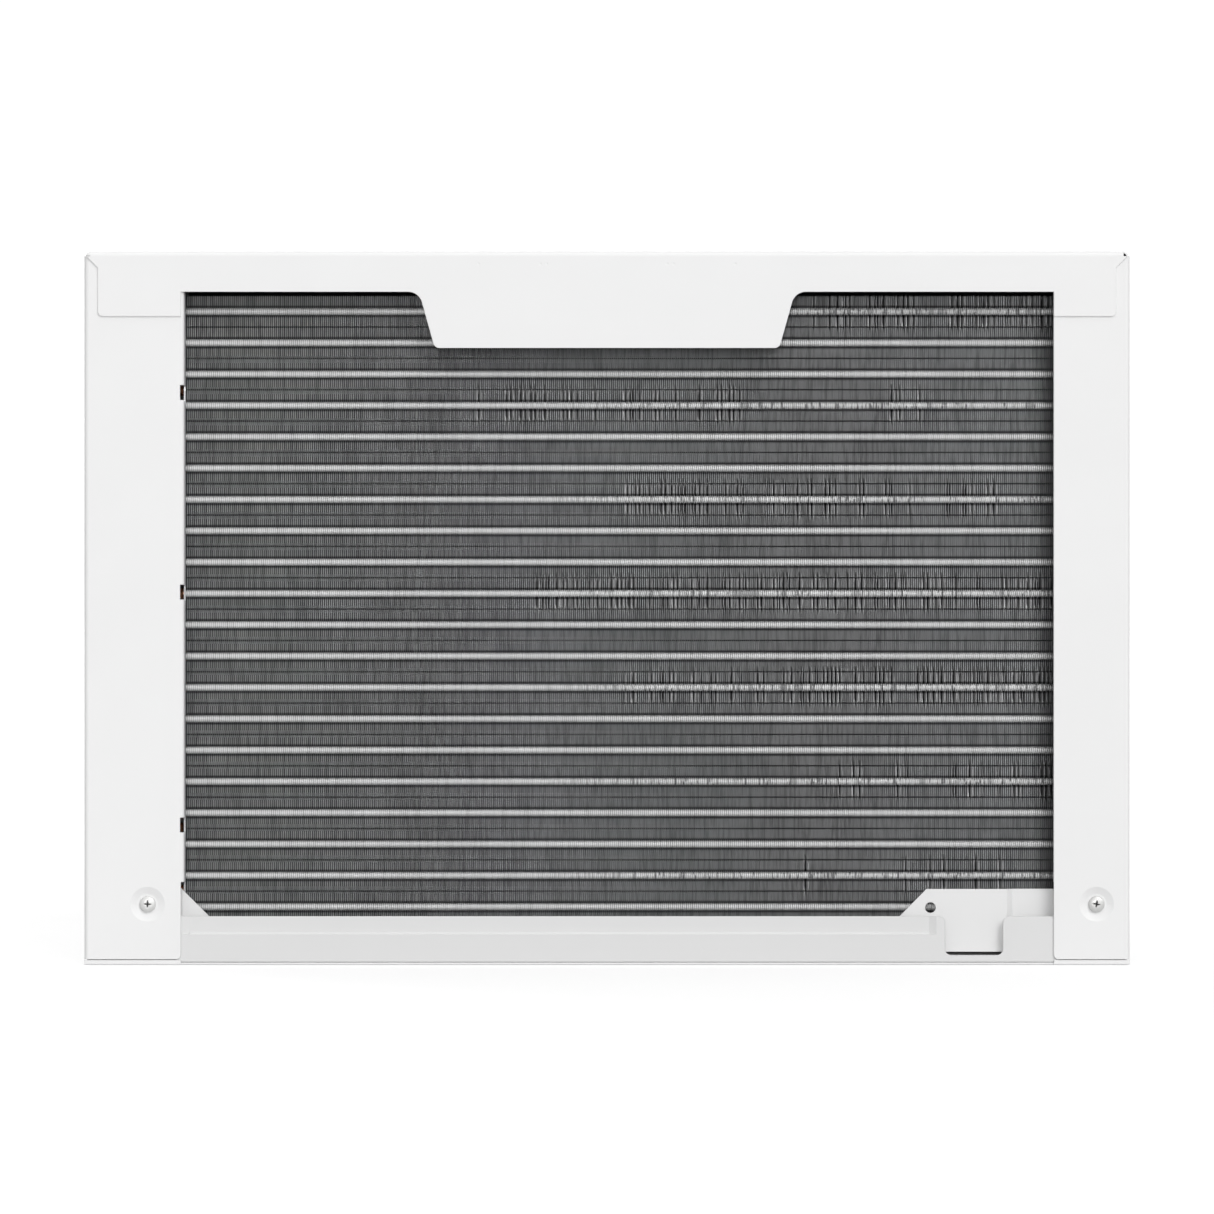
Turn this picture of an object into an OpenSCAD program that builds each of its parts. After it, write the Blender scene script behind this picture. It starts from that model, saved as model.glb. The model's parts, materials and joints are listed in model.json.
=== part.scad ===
// Window air conditioner with a slide-out chassis.
// The room side faces -Y, the outdoor side faces +Y and +Z is up.
// The origin is the centre of the underside. All sizes are in millimetres.

/* [Cabinet] */
// Overall width of the cabinet
body_w = 660; // [650:1:670]
// Overall height of the cabinet
body_h = 450; // [446:1:456]
// Overall depth, front panel included
body_d = 680; // [676:1:690]
// Thickness of the painted sheet
sheet_t = 1; // [0.8:0.1:1.2]
// Height of the folded rear flange along the top
top_flange_h = 25.5; // [24:0.5:28]
// Depth of the apron below the top edge
apron_h = 61; // [58:1:64]
// Width of the rear flange on the +X side
flange_right_w = 61; // [58:1:64]
// Width of the rear flange on the -X side
flange_left_w = 48; // [45:1:50]
// Rows of louvres in each side panel
louver_rows = 14; // [10:1:14]

/* [Coils] */
// Number of tube rows in the condenser
condenser_rows = 20; // [16:1:20]
// Vertical distance between condenser tubes
tube_pitch = 19.87; // [19:0.01:20]
// Outer diameter of the coil tubes
tube_d = 6.4; // [5:0.1:7]
// Number of tube rows in the evaporator
evaporator_rows = 12; // [9:1:12]
// Distance between the folds that stand for the fins
fold_pitch = 6; // [5:1:8]

/* [Fan] */
// Height of the fan shaft above the underside
shaft_z = 212; // [210:1:214]
// Sideways place of the fan shaft
shaft_x = -70; // [-74:1:-68]
// Outer diameter of the propeller's slinger ring
propeller_d = 386; // [370:1:388]
// Number of propeller blades
propeller_blades = 5; // [3:1:6]
// Outer diameter of the blower wheel
blower_d = 210; // [190:1:214]
// Number of blower blades
blower_blades = 40; // [24:1:44]

/* [Front panel] */
// Depth of the plastic front panel
front_d = 85; // [84:1:86]
// Wall thickness of plastic parts
wall_t = 2.5; // [2:0.5:3]
// Number of slats in the inlet grille
slat_count = 24; // [16:1:26]
// Number of swinging vertical vanes
vane_count = 5; // [5:1:5]
// Travel of each control button
button_travel = 1; // [0.5:0.1:1.5]

/* [Hidden] */
$fn = 48;
eps = 0.01;

// Main planes
half_w = body_w / 2;
y_front = -body_d / 2;
y_rear = body_d / 2;
y_cabinet = y_front + front_d;
side_outer = half_w;
side_inner = side_outer - sheet_t;
bend_r = 3;
lip_h = 15;
flange_z = body_h - top_flange_h;
y_side_flange = y_rear - sheet_t;
side_bottom = 3.2;
side_top = body_h - sheet_t - 2;

// Base pan
pan_t = 1.2;
pan_z = 4.3;
pan_floor = pan_z + pan_t;
pan_half_w = 320;
pan_rear = y_rear - 2.4;
pan_end_rear = y_rear - 5.8;
pan_front = y_cabinet + 5;
pan_wall_top = 30.3;
foot_z = pan_t + 0.3;
ledge_z = 19;
ledge_step = 1.6;
hem_t = 0.7;
hem_rear = pan_rear + 0.35 + hem_t;
screw_z = 38;
screw_right_x = 290;
screw_left_x = -309;
drain_x = -204.5;
drain_z = 35.5;
handle_x0 = 170;
handle_x1 = 262;
handle_z = 21;
dimple_depth = 1.5;

// Condenser
coil_rear = y_rear - 20;
coil_depth = 26;
coil_front = coil_rear - coil_depth;
coil_x0 = -294;
coil_x1 = 266.6;
coil_z0 = 25.6;
row0_z = 35.5;
top_row_z = row0_z + (condenser_rows - 1) * tube_pitch;
coil_z1 = top_row_z + 9.9;

// Fan compartment
orifice_r = propeller_d / 2 + 3.5;
shroud_y = 240;
shaft_r = 6;
motor_r = 62;
motor_y0 = -50;
motor_y1 = 60;
bulkhead_y = -84;
bulkhead_t = 1.5;
inner_half_w = 318;
inner_top = 437;

// Blower and evaporator
scroll_y0 = -198;
scroll_y1 = bulkhead_y;
blower_y0 = -186;
blower_y1 = -98;
evap_y0 = -246;
evap_y1 = -207;
evap_x0 = -296;
evap_x1 = 110;
evap_z0 = 45;
evap_pitch = 21;
evap_z1 = evap_z0 + (evaporator_rows + 1) * evap_pitch;
duct_x0 = -296;
duct_x1 = 115;
duct_z0 = 342;
duct_z1 = 424;

// Compressor
comp_x = 218;
comp_y = 60;
comp_r = 60;
comp_z0 = 26;
comp_z1 = 262;

// Front panel openings
fascia_y = y_front + 2;
panel_half_w = half_w - 2;
panel_z0 = 4;
panel_z1 = body_h - 3;
inlet_half_w = 308;
inlet_z0 = 26;
inlet_z1 = 316;
outlet_x0 = -306;
outlet_x1 = 151;
outlet_z0 = 338;
outlet_z1 = 424;
control_x0 = 166;
control_x1 = 312;

// Moving pieces on the front
hinge_y = y_front + 7;
hinge_z = 36;
hinge_pin_r = 3;
grille_back_y = y_front + 9;
filter_y = -312;
filter_t = 4;
filter_x1 = 118;
filter_z0 = 42;
filter_z1 = 304;
louver_y = -325;
louver_zs = [352, 381, 410];
louver_chord = 25;
louver_arm = 9;
louver_link_x = outlet_x0 + 8;
vane_y = -292;
vane_z0 = 344;
vane_z1 = 417;
vane_pitch = 84;
vane_x0 = (outlet_x0 + outlet_x1) / 2 - vane_pitch * (vane_count - 1) / 2;
link_arm = 18;
link_z = 338.4;
lever_x = 108;
lever_z = 327;
vent_hinge_x = 141;
vent_y = bulkhead_y - 5;
button_y = fascia_y - 1;

// Each button: centre X, centre Z and radius
button_spots = [[290, 392, 9], [256, 403, 5.5], [256, 386, 5.5], [208, 357, 5.5], [268, 357, 5.5]];
button_names = ["button_power", "button_temp_up", "button_temp_down", "button_mode", "button_fan_speed"];
vane_names = ["vane_1", "vane_2", "vane_3", "vane_4", "vane_5"];
louver_names = ["louver_1", "louver_2", "louver_3"];

// ---------- shared shapes ----------

// Box from its lowest and highest corner
module span(lo, hi) {
    translate(lo) cube(hi - lo);
}

// Extrudes a shape drawn in X and Z between two Y values
module along_y(y0, y1) {
    translate([0, y1, 0]) rotate([90, 0, 0]) linear_extrude(y1 - y0) children();
}

// Extrudes a shape drawn in Y and Z between two X values
module along_x(x0, x1) {
    translate([x0, 0, 0]) rotate([90, 0, 90]) linear_extrude(x1 - x0) children();
}

// Rectangle from corner to corner
module rect(lo, hi) {
    translate(lo) square(hi - lo);
}

// Rectangle with four true round corners
module soft_rect(lo, hi, r) {
    rect([lo[0] + r, lo[1]], [hi[0] - r, hi[1]]);
    rect([lo[0], lo[1] + r], [hi[0], hi[1] - r]);
    for (x = [lo[0] + r, hi[0] - r], y = [lo[1] + r, hi[1] - r])
        translate([x, y]) circle(r);
}

// Rods along each axis
module rod_x(x0, x1, y, z, r) {
    translate([x0, y, z]) rotate([0, 90, 0]) cylinder(h = x1 - x0, r = r);
}
module rod_y(y0, y1, x, z, r) {
    translate([x, y1, z]) rotate([90, 0, 0]) cylinder(h = y1 - y0, r = r);
}
module rod_z(z0, z1, x, y, r) {
    translate([x, y, z0]) cylinder(h = z1 - z0, r = r);
}

// Points on a circular arc
function arc(c, r, a0, a1, n = 8) =
    [for (i = [0:n]) let (a = a0 + (a1 - a0) * i / n) c + r * [cos(a), sin(a)]];

// A sheet folded back and forth along X, which stands for a pack of fins
module fold_pack(x0, x1, y0, y1, z0, z1) {
    t = 0.4;
    n = 2 * floor((x1 - x0) / fold_pitch / 2) + 1;
    step = (x1 - x0 - t) / n;
    upper = [for (i = [0:n]) let (x = x0 + i * step)
        each i % 2 == 0 ? [[x, i == 0 ? y0 : y0 + t], [x, y1]] : [[x + t, y1], [x + t, i == n ? y0 : y0 + t]]];
    lower = [for (i = [n:-1:0]) let (x = x0 + i * step)
        each i % 2 == 0 ? [[x + t, y1 - t], [x + t, y0]] : [[x, y0], [x, y1 - t]]];
    translate([0, 0, z0]) linear_extrude(z1 - z0) polygon(concat(upper, lower));
}

// Half-circle tube bend between two tube centres p and q, given as Y and Z
module return_bend(x, p, q, r, side) {
    d = q - p;
    translate([x, (p[0] + q[0]) / 2, (p[1] + q[1]) / 2]) rotate([atan2(d[1], d[0]), 0, 0])
        rotate([0, 0, side > 0 ? -90 : 90])
            rotate_extrude(angle = 180) translate([norm(d) / 2, 0]) circle(r, $fn = 24);
}

// Straight tubes with bends that join them in pairs at alternating ends
module serpentine(x0, x1, y, z0, pitch, rows, r) {
    for (i = [0:rows - 1]) rod_x(x0, x1, y, z0 + i * pitch, r);
    for (i = [0:rows - 2])
        return_bend(i % 2 == 0 ? x0 : x1, [y, z0 + i * pitch], [y, z0 + (i + 1) * pitch], r,
            i % 2 == 0 ? -1 : 1);
}

// Rounds each corner of a path with a short curve
function rounded_path(p, r, n = 4) = [
    p[0],
    for (i = [1:len(p) - 2])
        let (a = p[i - 1] - p[i], b = p[i + 1] - p[i],
             s = min(r, norm(a) / 2.2, norm(b) / 2.2),
             u = p[i] + a / norm(a) * s, v = p[i] + b / norm(b) * s)
            for (k = [0:n]) let (t = k / n)
                (1 - t) * (1 - t) * u + 2 * t * (1 - t) * p[i] + t * t * v,
    p[len(p) - 1]];
function unit(v) = v / norm(v);
function heading(p, i) = unit(p[min(i + 1, len(p) - 1)] - p[max(i - 1, 0)]);

// Carries a side vector along a path with as little twist as possible
function carried(p, i = 0, side = [0, 0, 0], out = []) =
    i == len(p) ? out :
    let (h = heading(p, i),
         guess = i > 0 ? side : (abs(h[2]) < 0.8 ? [0, 0, 1] : [1, 0, 0]),
         now = unit(guess - (guess * h) * h))
        carried(p, i + 1, now, concat(out, [now]));

// Round pipe swept along a path
module pipe(points, r, bend, sides = 8) {
    p = rounded_path(points, bend);
    s = carried(p);
    n = len(p);
    rings = [for (i = [0:n - 1]) let (u = s[i], v = cross(heading(p, i), u))
        for (k = [0:sides - 1]) let (a = 360 * k / sides) p[i] + r * (cos(a) * u + sin(a) * v)];
    walls = [for (i = [0:n - 2], k = [0:sides - 1])
        let (a = i * sides + k, b = i * sides + (k + 1) % sides)
            each [[a, a + sides, b], [b, a + sides, b + sides]]];
    caps = [[for (k = [0:sides - 1]) k], [for (k = [sides - 1:-1:0]) (n - 1) * sides + k]];
    polyhedron(points = rings, faces = concat(walls, caps));
}

// ---------- cabinet ----------

// Outline of the rear face of the top panel, drawn in X and Z
module top_flange_outline() {
    slant = 15.6;
    mid_x = 113.5;
    mid_z = body_h - 44;
    r1 = 9;
    r2 = 4;
    bottom = body_h - apron_h;
    c1z = flange_z - r1;
    c1x = mid_x + (r1 + (c1z - mid_z) * sin(slant)) / cos(slant);
    c2z = bottom + r2;
    c2x = mid_x + (-r2 + (c2z - mid_z) * sin(slant)) / cos(slant);
    half = concat(arc([c1x, c1z], r1, 90, 180 - slant), arc([c2x, c2z], r2, -slant, -90));
    other = [for (i = [len(half) - 1:-1:0]) [-half[i][0], half[i][1]]];
    tab_z = flange_z - 15.5;
    corner = 7.6;
    r3 = 3;
    right = concat([[side_inner - 0.4, body_h - bend_r], [side_inner - corner, body_h - bend_r - corner + 0.4]],
        arc([side_inner - corner - r3, tab_z + r3], r3, 0, -90, 4),
        [[half_w - flange_right_w, tab_z], [half_w - flange_right_w, flange_z]]);
    left = concat([[-half_w + flange_left_w, flange_z], [-half_w + flange_left_w, tab_z]],
        arc([-side_inner + corner + r3, tab_z + r3], r3, -90, -180, 4),
        [[-side_inner + corner, body_h - bend_r - corner + 0.4], [-side_inner + 0.4, body_h - bend_r]]);
    polygon(concat(right, half, other, left));
}

module cabinet_top() {
    color("white") difference() {
        union() {
            // flat top
            span([-side_inner + bend_r, y_cabinet, body_h - sheet_t],
                 [side_inner - bend_r, y_rear - bend_r, body_h]);
            // folded side lips inside the side panels
            for (s = [0, 1]) mirror([s, 0, 0]) along_y(y_cabinet, y_rear - bend_r - 1.5)
                intersection() {
                    difference() {
                        soft_rect([0, 0], [side_inner, body_h], bend_r);
                        soft_rect([-1, -1], [side_inner - sheet_t, body_h - sheet_t], bend_r - sheet_t);
                    }
                    rect([side_inner - bend_r, body_h - lip_h], [side_inner + 1, body_h + 1]);
                }
            // closed corner on the right
            intersection() {
                translate([side_inner - bend_r, y_rear - bend_r, body_h - bend_r]) sphere(bend_r);
                span([side_inner - bend_r, y_rear - bend_r, body_h - bend_r + 0.2],
                    [half_w, y_rear + 1, body_h + 1]);
            }
            // bend above the rear flange
            along_x(-side_inner + bend_r, side_inner - bend_r) intersection() {
                difference() {
                    soft_rect([0, 0], [y_rear, body_h], bend_r);
                    soft_rect([-1, -1], [y_rear - sheet_t, body_h - sheet_t], bend_r - sheet_t);
                }
                rect([y_rear - bend_r, body_h - bend_r], [y_rear + 1, body_h + 1]);
            }
            along_y(y_rear - sheet_t, y_rear) top_flange_outline();
        }
        // holes for the upper window rail
        for (x = [-150, 150]) rod_z(body_h - 5, body_h + 5, x, y_cabinet + 45, 2.5);
        // spot weld marks
        for (x = [81, 38, 42, -38, -42, -81]) translate([x, y_rear + 2.4, body_h - 8])
            sphere(2.6, $fn = 24);
    }
}

// One pressed louvre: a wedge to add, or the void that opens it
module louver_wedge(yc, zc, len) {
    x = side_inner + 0.5;
    along_y(yc - len / 2, yc + len / 2)
        polygon([[x, zc - 4], [x, zc + 3], [x - 5.5, zc + 3]]);
}
module louver_void(yc, zc, len) {
    x = side_inner + 0.5;
    along_y(yc - len / 2 + 1, yc + len / 2 - 1)
        polygon([[x + 0.7, zc - 3.44], [x + 2, zc - 3.44], [x + 2, zc + 2.2],
                 [x - 0.6, zc + 2.2], [x - 0.6, zc + 3.6], [x - 4.8, zc + 3.6]]);
}

// Side panel drawn for the +X side. w is the width of its rear flange, and lip is how far the rounded
// return stands past the flange's inner edge
module side_panel(w, lip, screw_x, slots) {
    louver_len = 78;
    louver_pitch = 20;
    inner_edge = half_w - w;
    return_x = inner_edge - lip;
    return_z = 52;
    return_r = 2.2;
    difference() {
        union() {
            translate([0, 0, side_bottom]) linear_extrude(side_top - side_bottom) difference() {
                union() {
                    rect([side_inner, y_cabinet], [side_outer, y_side_flange - bend_r]);
                    rect([inner_edge, y_side_flange - sheet_t], [side_outer - bend_r, y_side_flange]);
                    intersection() {
                        translate([side_outer - bend_r, y_side_flange - bend_r]) difference() {
                            circle(bend_r);
                            circle(bend_r - sheet_t);
                        }
                        rect([side_outer - bend_r, y_side_flange - bend_r], [half_w, y_rear]);
                    }
                }
            }
            // stiffening return along the flange's inner edge
            span([return_x, y_side_flange - 6, return_z], [return_x + sheet_t, y_side_flange - eps, side_top]);
            if (lip > 0)
                span([return_x, y_side_flange - return_r, return_z], [inner_edge + 1, y_side_flange, side_top]);
            // hem at the front edge
            span([side_inner - 9, y_cabinet, side_bottom + 30],
                [side_inner + eps, y_cabinet + sheet_t, body_h - lip_h - 1]);
            for (c = [0:2], r = [0:louver_rows - 1])
                louver_wedge(70 + c * 92, 92 + r * louver_pitch, louver_len);
            // outside of the screw dimple
            translate([screw_x, y_side_flange - sheet_t - dimple_depth, screw_z]) rotate([-90, 0, 0])
                cylinder(h = dimple_depth + eps, r1 = 6.5, r2 = 11);
        }
        for (c = [0:2], r = [0:louver_rows - 1])
            louver_void(70 + c * 92, 92 + r * louver_pitch, louver_len);
        translate([screw_x, y_side_flange - dimple_depth, screw_z]) rotate([-90, 0, 0])
            cylinder(h = dimple_depth + eps, r1 = 6.5, r2 = 11);
        rod_y(y_rear - 12, y_rear, screw_x, screw_z, 2.3);
        // round lower corner of the flange
        along_y(y_rear - 10, y_rear + 1) difference() {
            rect([inner_edge - 1, side_bottom - 1], [inner_edge + 3, side_bottom + 3]);
            translate([inner_edge + 3, side_bottom + 3]) circle(3);
        }
        // rounded bend of the return
        if (lip > 0) translate([0, 0, return_z - 1]) linear_extrude(side_top) difference() {
            rect([return_x - 1, y_side_flange - return_r], [return_x + return_r, y_side_flange + 1]);
            translate([return_x + return_r, y_side_flange - return_r]) circle(return_r);
        }
        // slots in the return
        for (z = slots) span([return_x - 1, y_rear - 12, z - 4.7], [return_x + 2.6, y_rear, z + 4.7]);
        // holes for the side curtain frame
        for (z = [70, 390]) rod_x(side_inner - 20, half_w + 1, y_cabinet + 32, z, 2.1);
    }
}

module cabinet_side_right() {
    color("white") side_panel(flange_right_w, 2.1, screw_right_x, [88, 235, 361]);
}

module cabinet_side_left() {
    color("white") mirror([1, 0, 0]) side_panel(flange_left_w, 0, -screw_left_x, []);
}

module cabinet_base() {
    color("white") {
        span([-half_w, y_cabinet, 0], [half_w, pan_rear, pan_t]);
        // hems under the rear flanges of the sides
        for (x = [[-half_w, -half_w + flange_left_w], [half_w - flange_right_w, half_w]]) {
            span([x[0], pan_rear - eps, 0], [x[1], hem_rear, pan_t]);
            span([x[0], hem_rear - hem_t, 0], [x[1], hem_rear, side_bottom - 0.4]);
        }
        // side lips
        for (s = [0, 1]) mirror([s, 0, 0])
            span([side_inner - pan_t, y_cabinet, 0], [side_inner, y_rear - 12, 16]);
    }
}

module cross_head_screw(r, h, shank_r, shank_l) {
    difference() {
        union() {
            intersection() {
                cylinder(h = h, r = r);
                translate([0, 0, h - 1.6 * r]) sphere(1.6 * r);
            }
            translate([0, 0, -shank_l]) cylinder(h = shank_l + eps, r = shank_r);
        }
        for (a = [0, 90]) rotate([0, 0, a + 40])
            translate([-0.45 * r, -0.09 * r, h - 1.4]) cube([0.9 * r, 0.18 * r, 2]);
        translate([0, 0, h - 1.4]) cylinder(h = 2, r1 = 0.12 * r, r2 = 0.3 * r);
    }
}

module rear_screws() {
    color("silver") for (x = [screw_right_x, screw_left_x])
        translate([x, y_side_flange - dimple_depth, screw_z]) rotate([-90, 0, 0])
            cross_head_screw(5.2, 2.4, 2, 14);
}

// ---------- chassis ----------

// Rear wall of the pan: recessed upper band over a sloping ledge, drawn in Y and Z
module stepped_wall() {
    y0 = pan_rear - pan_t;
    polygon([[pan_rear, foot_z], [pan_rear, ledge_z], [pan_rear - ledge_step, ledge_z + 1.2],
        [pan_rear - ledge_step, pan_wall_top], [y0 - ledge_step, pan_wall_top],
        [y0 - ledge_step, ledge_z + 0.7], [y0, ledge_z - 0.5], [y0, foot_z]]);
}

module base_pan() {
    notch_x0 = -250;
    notch_x1 = -213.4;
    ledge_x0 = -208;
    ledge_x1 = 268;
    taper = 4.5;
    end_x0 = -half_w + flange_left_w - 3;
    end_x1 = half_w - flange_right_w + 3;
    color("gainsboro") {
        difference() {
            union() {
                // floor
                span([-pan_half_w, pan_front, pan_z], [pan_half_w, pan_end_rear, pan_floor]);
                span([end_x0, pan_front, pan_z], [end_x1, pan_rear, pan_floor]);
                // rear wall, with joggled ends behind the cabinet flanges
                along_x(ledge_x0 + taper, ledge_x1 - taper) stepped_wall();
                translate([0, 0, foot_z]) linear_extrude(pan_wall_top - foot_z) {
                    y0 = pan_rear - pan_t;
                    rect([end_x0, y0], [ledge_x0 + eps, pan_rear]);
                    rect([ledge_x1 - eps, y0], [end_x1, pan_rear]);
                    polygon([[ledge_x0, y0], [ledge_x0, pan_rear], [ledge_x0 + taper + eps, pan_rear - ledge_step],
                        [ledge_x0 + taper + eps, y0 - ledge_step]]);
                    polygon([[ledge_x1, pan_rear], [ledge_x1, y0], [ledge_x1 - taper - eps, y0 - ledge_step],
                        [ledge_x1 - taper - eps, pan_rear - ledge_step]]);
                }
                for (x = [ledge_x0, ledge_x1 - taper])
                    span([x, pan_rear - pan_t, foot_z], [x + taper, pan_rear, ledge_z]);
                // feet that slide on the cabinet's base
                for (x = [-222, -6, 210]) span([x, pan_front, foot_z], [x + 12, pan_rear - eps, pan_z + eps]);
                for (x = [end_x0, end_x1 - pan_t])
                    span([x, pan_end_rear - pan_t, pan_z], [x + pan_t, pan_rear, pan_wall_top]);
                span([end_x1 - pan_t, pan_end_rear - pan_t, pan_z], [pan_half_w, pan_end_rear, 50]);
                span([-pan_half_w, pan_end_rear - pan_t, pan_z], [end_x0 + pan_t, pan_end_rear, 50]);
                // side and front walls
                for (s = [0, 1]) mirror([s, 0, 0])
                    span([pan_half_w - pan_t, pan_front, pan_z], [pan_half_w, pan_end_rear, 28]);
                span([-pan_half_w, pan_front, pan_z], [pan_half_w, pan_front + pan_t, 30]);
                // tongues that hold the lower edge of the front panel
                for (x = [-300, 300]) span([x - 12, pan_front - 14, panel_z0 + wall_t],
                    [x + 12, pan_front + pan_t, panel_z0 + wall_t + pan_t]);
                // stiffening ribs pressed into the floor
                for (x = [-250, -160, 20, 110]) span([x, -60, pan_z], [x + 14, 200, pan_floor + 2]);
                // raised ring under the compressor
                rod_z(pan_z, pan_floor + 1.5, comp_x, comp_y, 88);
            }
            // notch for the drain elbow
            along_y(pan_rear - 4, pan_rear + 1) {
                soft_rect([notch_x0, 5.8], [notch_x1, 60], 4);
                difference() {
                    rect([notch_x0 - 4, pan_wall_top - 4], [notch_x1 + 4, 60]);
                    for (x = [notch_x0 - 4, notch_x1 + 4]) translate([x, pan_wall_top - 4]) circle(4);
                }
            }
            // pilot holes for the rear screws
            for (x = [screw_right_x, screw_left_x])
                rod_y(pan_end_rear - 5, pan_end_rear + 5, x, screw_z, 2.1);
        }
    }
}

// Bail on the front wall of the pan, for pulling the chassis out
module pull_handle() {
    r = 4;
    y = pan_front - 24;
    color("silver") {
        rod_x(handle_x0, handle_x1, y, handle_z, r);
        for (x = [handle_x0, handle_x1]) {
            translate([x, y, handle_z]) sphere(r);
            rod_y(y, pan_front, x, handle_z, r);
            rod_y(pan_front - 2, pan_front, x, handle_z, 8);
        }
    }
}

// Plates in the rear corners of the pan. The left one has the screw hole for a drain elbow
module corner_plates() {
    y = pan_rear - 8;
    color("gainsboro") {
        difference() {
            union() {
                along_y(y, y + pan_t) polygon([[-184, 29], [-202, 47.3], [-253, 47.3],
                    [-253, pan_floor], [-251, pan_floor], [-251, 7.6], [-212, 7.6], [-212, pan_floor],
                    [-206, pan_floor], [-206, 29]]);
                translate([0, 0, pan_floor]) linear_extrude(47.3 - pan_floor)
                    polygon([[-253 + eps, y], [-253 + eps, y + pan_t], [-256.5, y - 3 + pan_t],
                        [-300, y - 3 + pan_t], [-300, y - 3], [-257, y - 3]]);
            }
            rod_y(y - 5, y + 5, drain_x, drain_z, 3.35);
        }
        along_y(y, y + pan_t)
            polygon([[251.8, pan_wall_top], [251.8, pan_floor], [282, pan_floor], [282, 60.5]]);
    }
}

module condenser_fins() {
    color("dimgray") fold_pack(coil_x0, coil_x1, coil_front, coil_rear, coil_z0, coil_z1);
}

module condenser_tubes() {
    color("lightgray") {
        serpentine(coil_x0 - 3, coil_x1 + 3, coil_rear - 6.5, row0_z, tube_pitch, condenser_rows, tube_d / 2);
        serpentine(coil_x0 - 3, coil_x1 + 3, coil_rear - 19.5, row0_z + tube_pitch / 2, tube_pitch,
            condenser_rows - 2, tube_d / 2);
    }
}

module condenser_end_plates() {
    color("silver") for (x = [coil_x0 - 1.6, coil_x1 + 0.4]) difference() {
        union() {
            span([x, coil_front - 8, pan_floor], [x + 1.2, coil_rear + 2, coil_z1 + 6]);
            span([x < 0 ? x - 14 : x, coil_front - 8, pan_floor],
                 [x < 0 ? x + eps : x + 11, coil_front - 7, coil_z1 + 6]);
        }
        for (i = [0:condenser_rows - 1])
            rod_x(x - 2, x + 4, coil_rear - 6.5, row0_z + i * tube_pitch, tube_d / 2 + 0.1);
        for (i = [0:condenser_rows - 3])
            rod_x(x - 2, x + 4, coil_rear - 19.5, row0_z + (i + 0.5) * tube_pitch, tube_d / 2 + 0.1);
    }
}

module fan_shroud() {
    rim = 3;
    x0 = coil_x0 - 6;
    x1 = coil_x1 + 9;
    color("black") difference() {
        union() {
            span([x0, shroud_y, pan_floor], [x1, shroud_y + rim, inner_top]);
            rod_y(shroud_y - 26, shroud_y + 1, shaft_x, shaft_z, orifice_r + rim);
            // plenum walls that reach back to the coil
            span([x0, shroud_y, inner_top - rim], [x1, coil_front - 8, inner_top]);
            for (x = [x0, x1 - rim]) span([x, shroud_y, pan_floor], [x + rim, coil_front - 8, inner_top]);
        }
        rod_y(shroud_y - 40, shroud_y + 10, shaft_x, shaft_z, orifice_r);
    }
}

// Propeller blade: a twisted, cambered plate swept outwards from the hub
module propeller_blade() {
    r0 = 33;
    r1 = propeller_d / 2 - 1.5;
    n = 8;
    m = 6;
    t = 1.3;
    function spot(i, j, side) =
        let (f = i / n, g = j / m - 0.5,
             r = r0 + (r1 - r0) * f,
             pitch = 48 - 26 * f,
             chord = 58 + 92 * f,
             camber = 0.10 * chord * (1 - 4 * g * g),
             across = g * chord,
             turn = (across * cos(pitch)) / r * 57.3 + 16 * f)
            [r * cos(turn), r * sin(turn), -across * sin(pitch) + camber + side * t];
    lower = [for (i = [0:n], j = [0:m]) spot(i, j, -1)];
    upper = [for (i = [0:n], j = [0:m]) spot(i, j, 1)];
    w = m + 1;
    k = (n + 1) * w;
    faces = concat(
        [for (i = [0:n - 1], j = [0:m - 1]) let (a = i * w + j)
            each [[a, a + 1, a + w], [a + 1, a + w + 1, a + w]]],
        [for (i = [0:n - 1], j = [0:m - 1]) let (a = k + i * w + j)
            each [[a, a + w, a + 1], [a + 1, a + w, a + w + 1]]],
        [for (i = [0:n - 1]) let (a = i * w) each [[a, a + w, k + a], [k + a, a + w, k + a + w]]],
        [for (i = [0:n - 1]) let (a = i * w + m) each [[a, k + a, a + w], [k + a, k + a + w, a + w]]],
        [for (j = [0:m - 1]) each [[j, k + j, j + 1], [j + 1, k + j, k + j + 1]]],
        [for (j = [0:m - 1]) let (a = n * w + j) each [[a, a + 1, k + a], [a + 1, k + a + 1, k + a]]]);
    polyhedron(points = concat(lower, upper), faces = [for (f = faces) [f[2], f[1], f[0]]]);
}

module propeller_fan() {
    y = 211;
    color("black") translate([shaft_x, y, shaft_z]) rotate([90, 0, 0]) {
        for (i = [0:propeller_blades - 1]) rotate([0, 0, i * 360 / propeller_blades])
            propeller_blade();
        difference() {
            union() {
                translate([0, 0, -22]) cylinder(h = 44, r = 36);
                difference() {
                    translate([0, 0, -12]) cylinder(h = 24, r = propeller_d / 2);
                    translate([0, 0, -13]) cylinder(h = 26, r = propeller_d / 2 - 2.5);
                }
            }
            translate([0, 0, -23]) cylinder(h = 46, r = shaft_r);
            translate([0, 0, -23]) difference() {
                cylinder(h = 19, r = 32);
                translate([0, 0, -1]) cylinder(h = 21, r = 12);
            }
        }
    }
}

module fan_shaft() {
    color("silver") {
        rod_y(blower_y0 + 2, 240, shaft_x, shaft_z, shaft_r);
        rod_y(233, 241, shaft_x, shaft_z, 9);
    }
}

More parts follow.
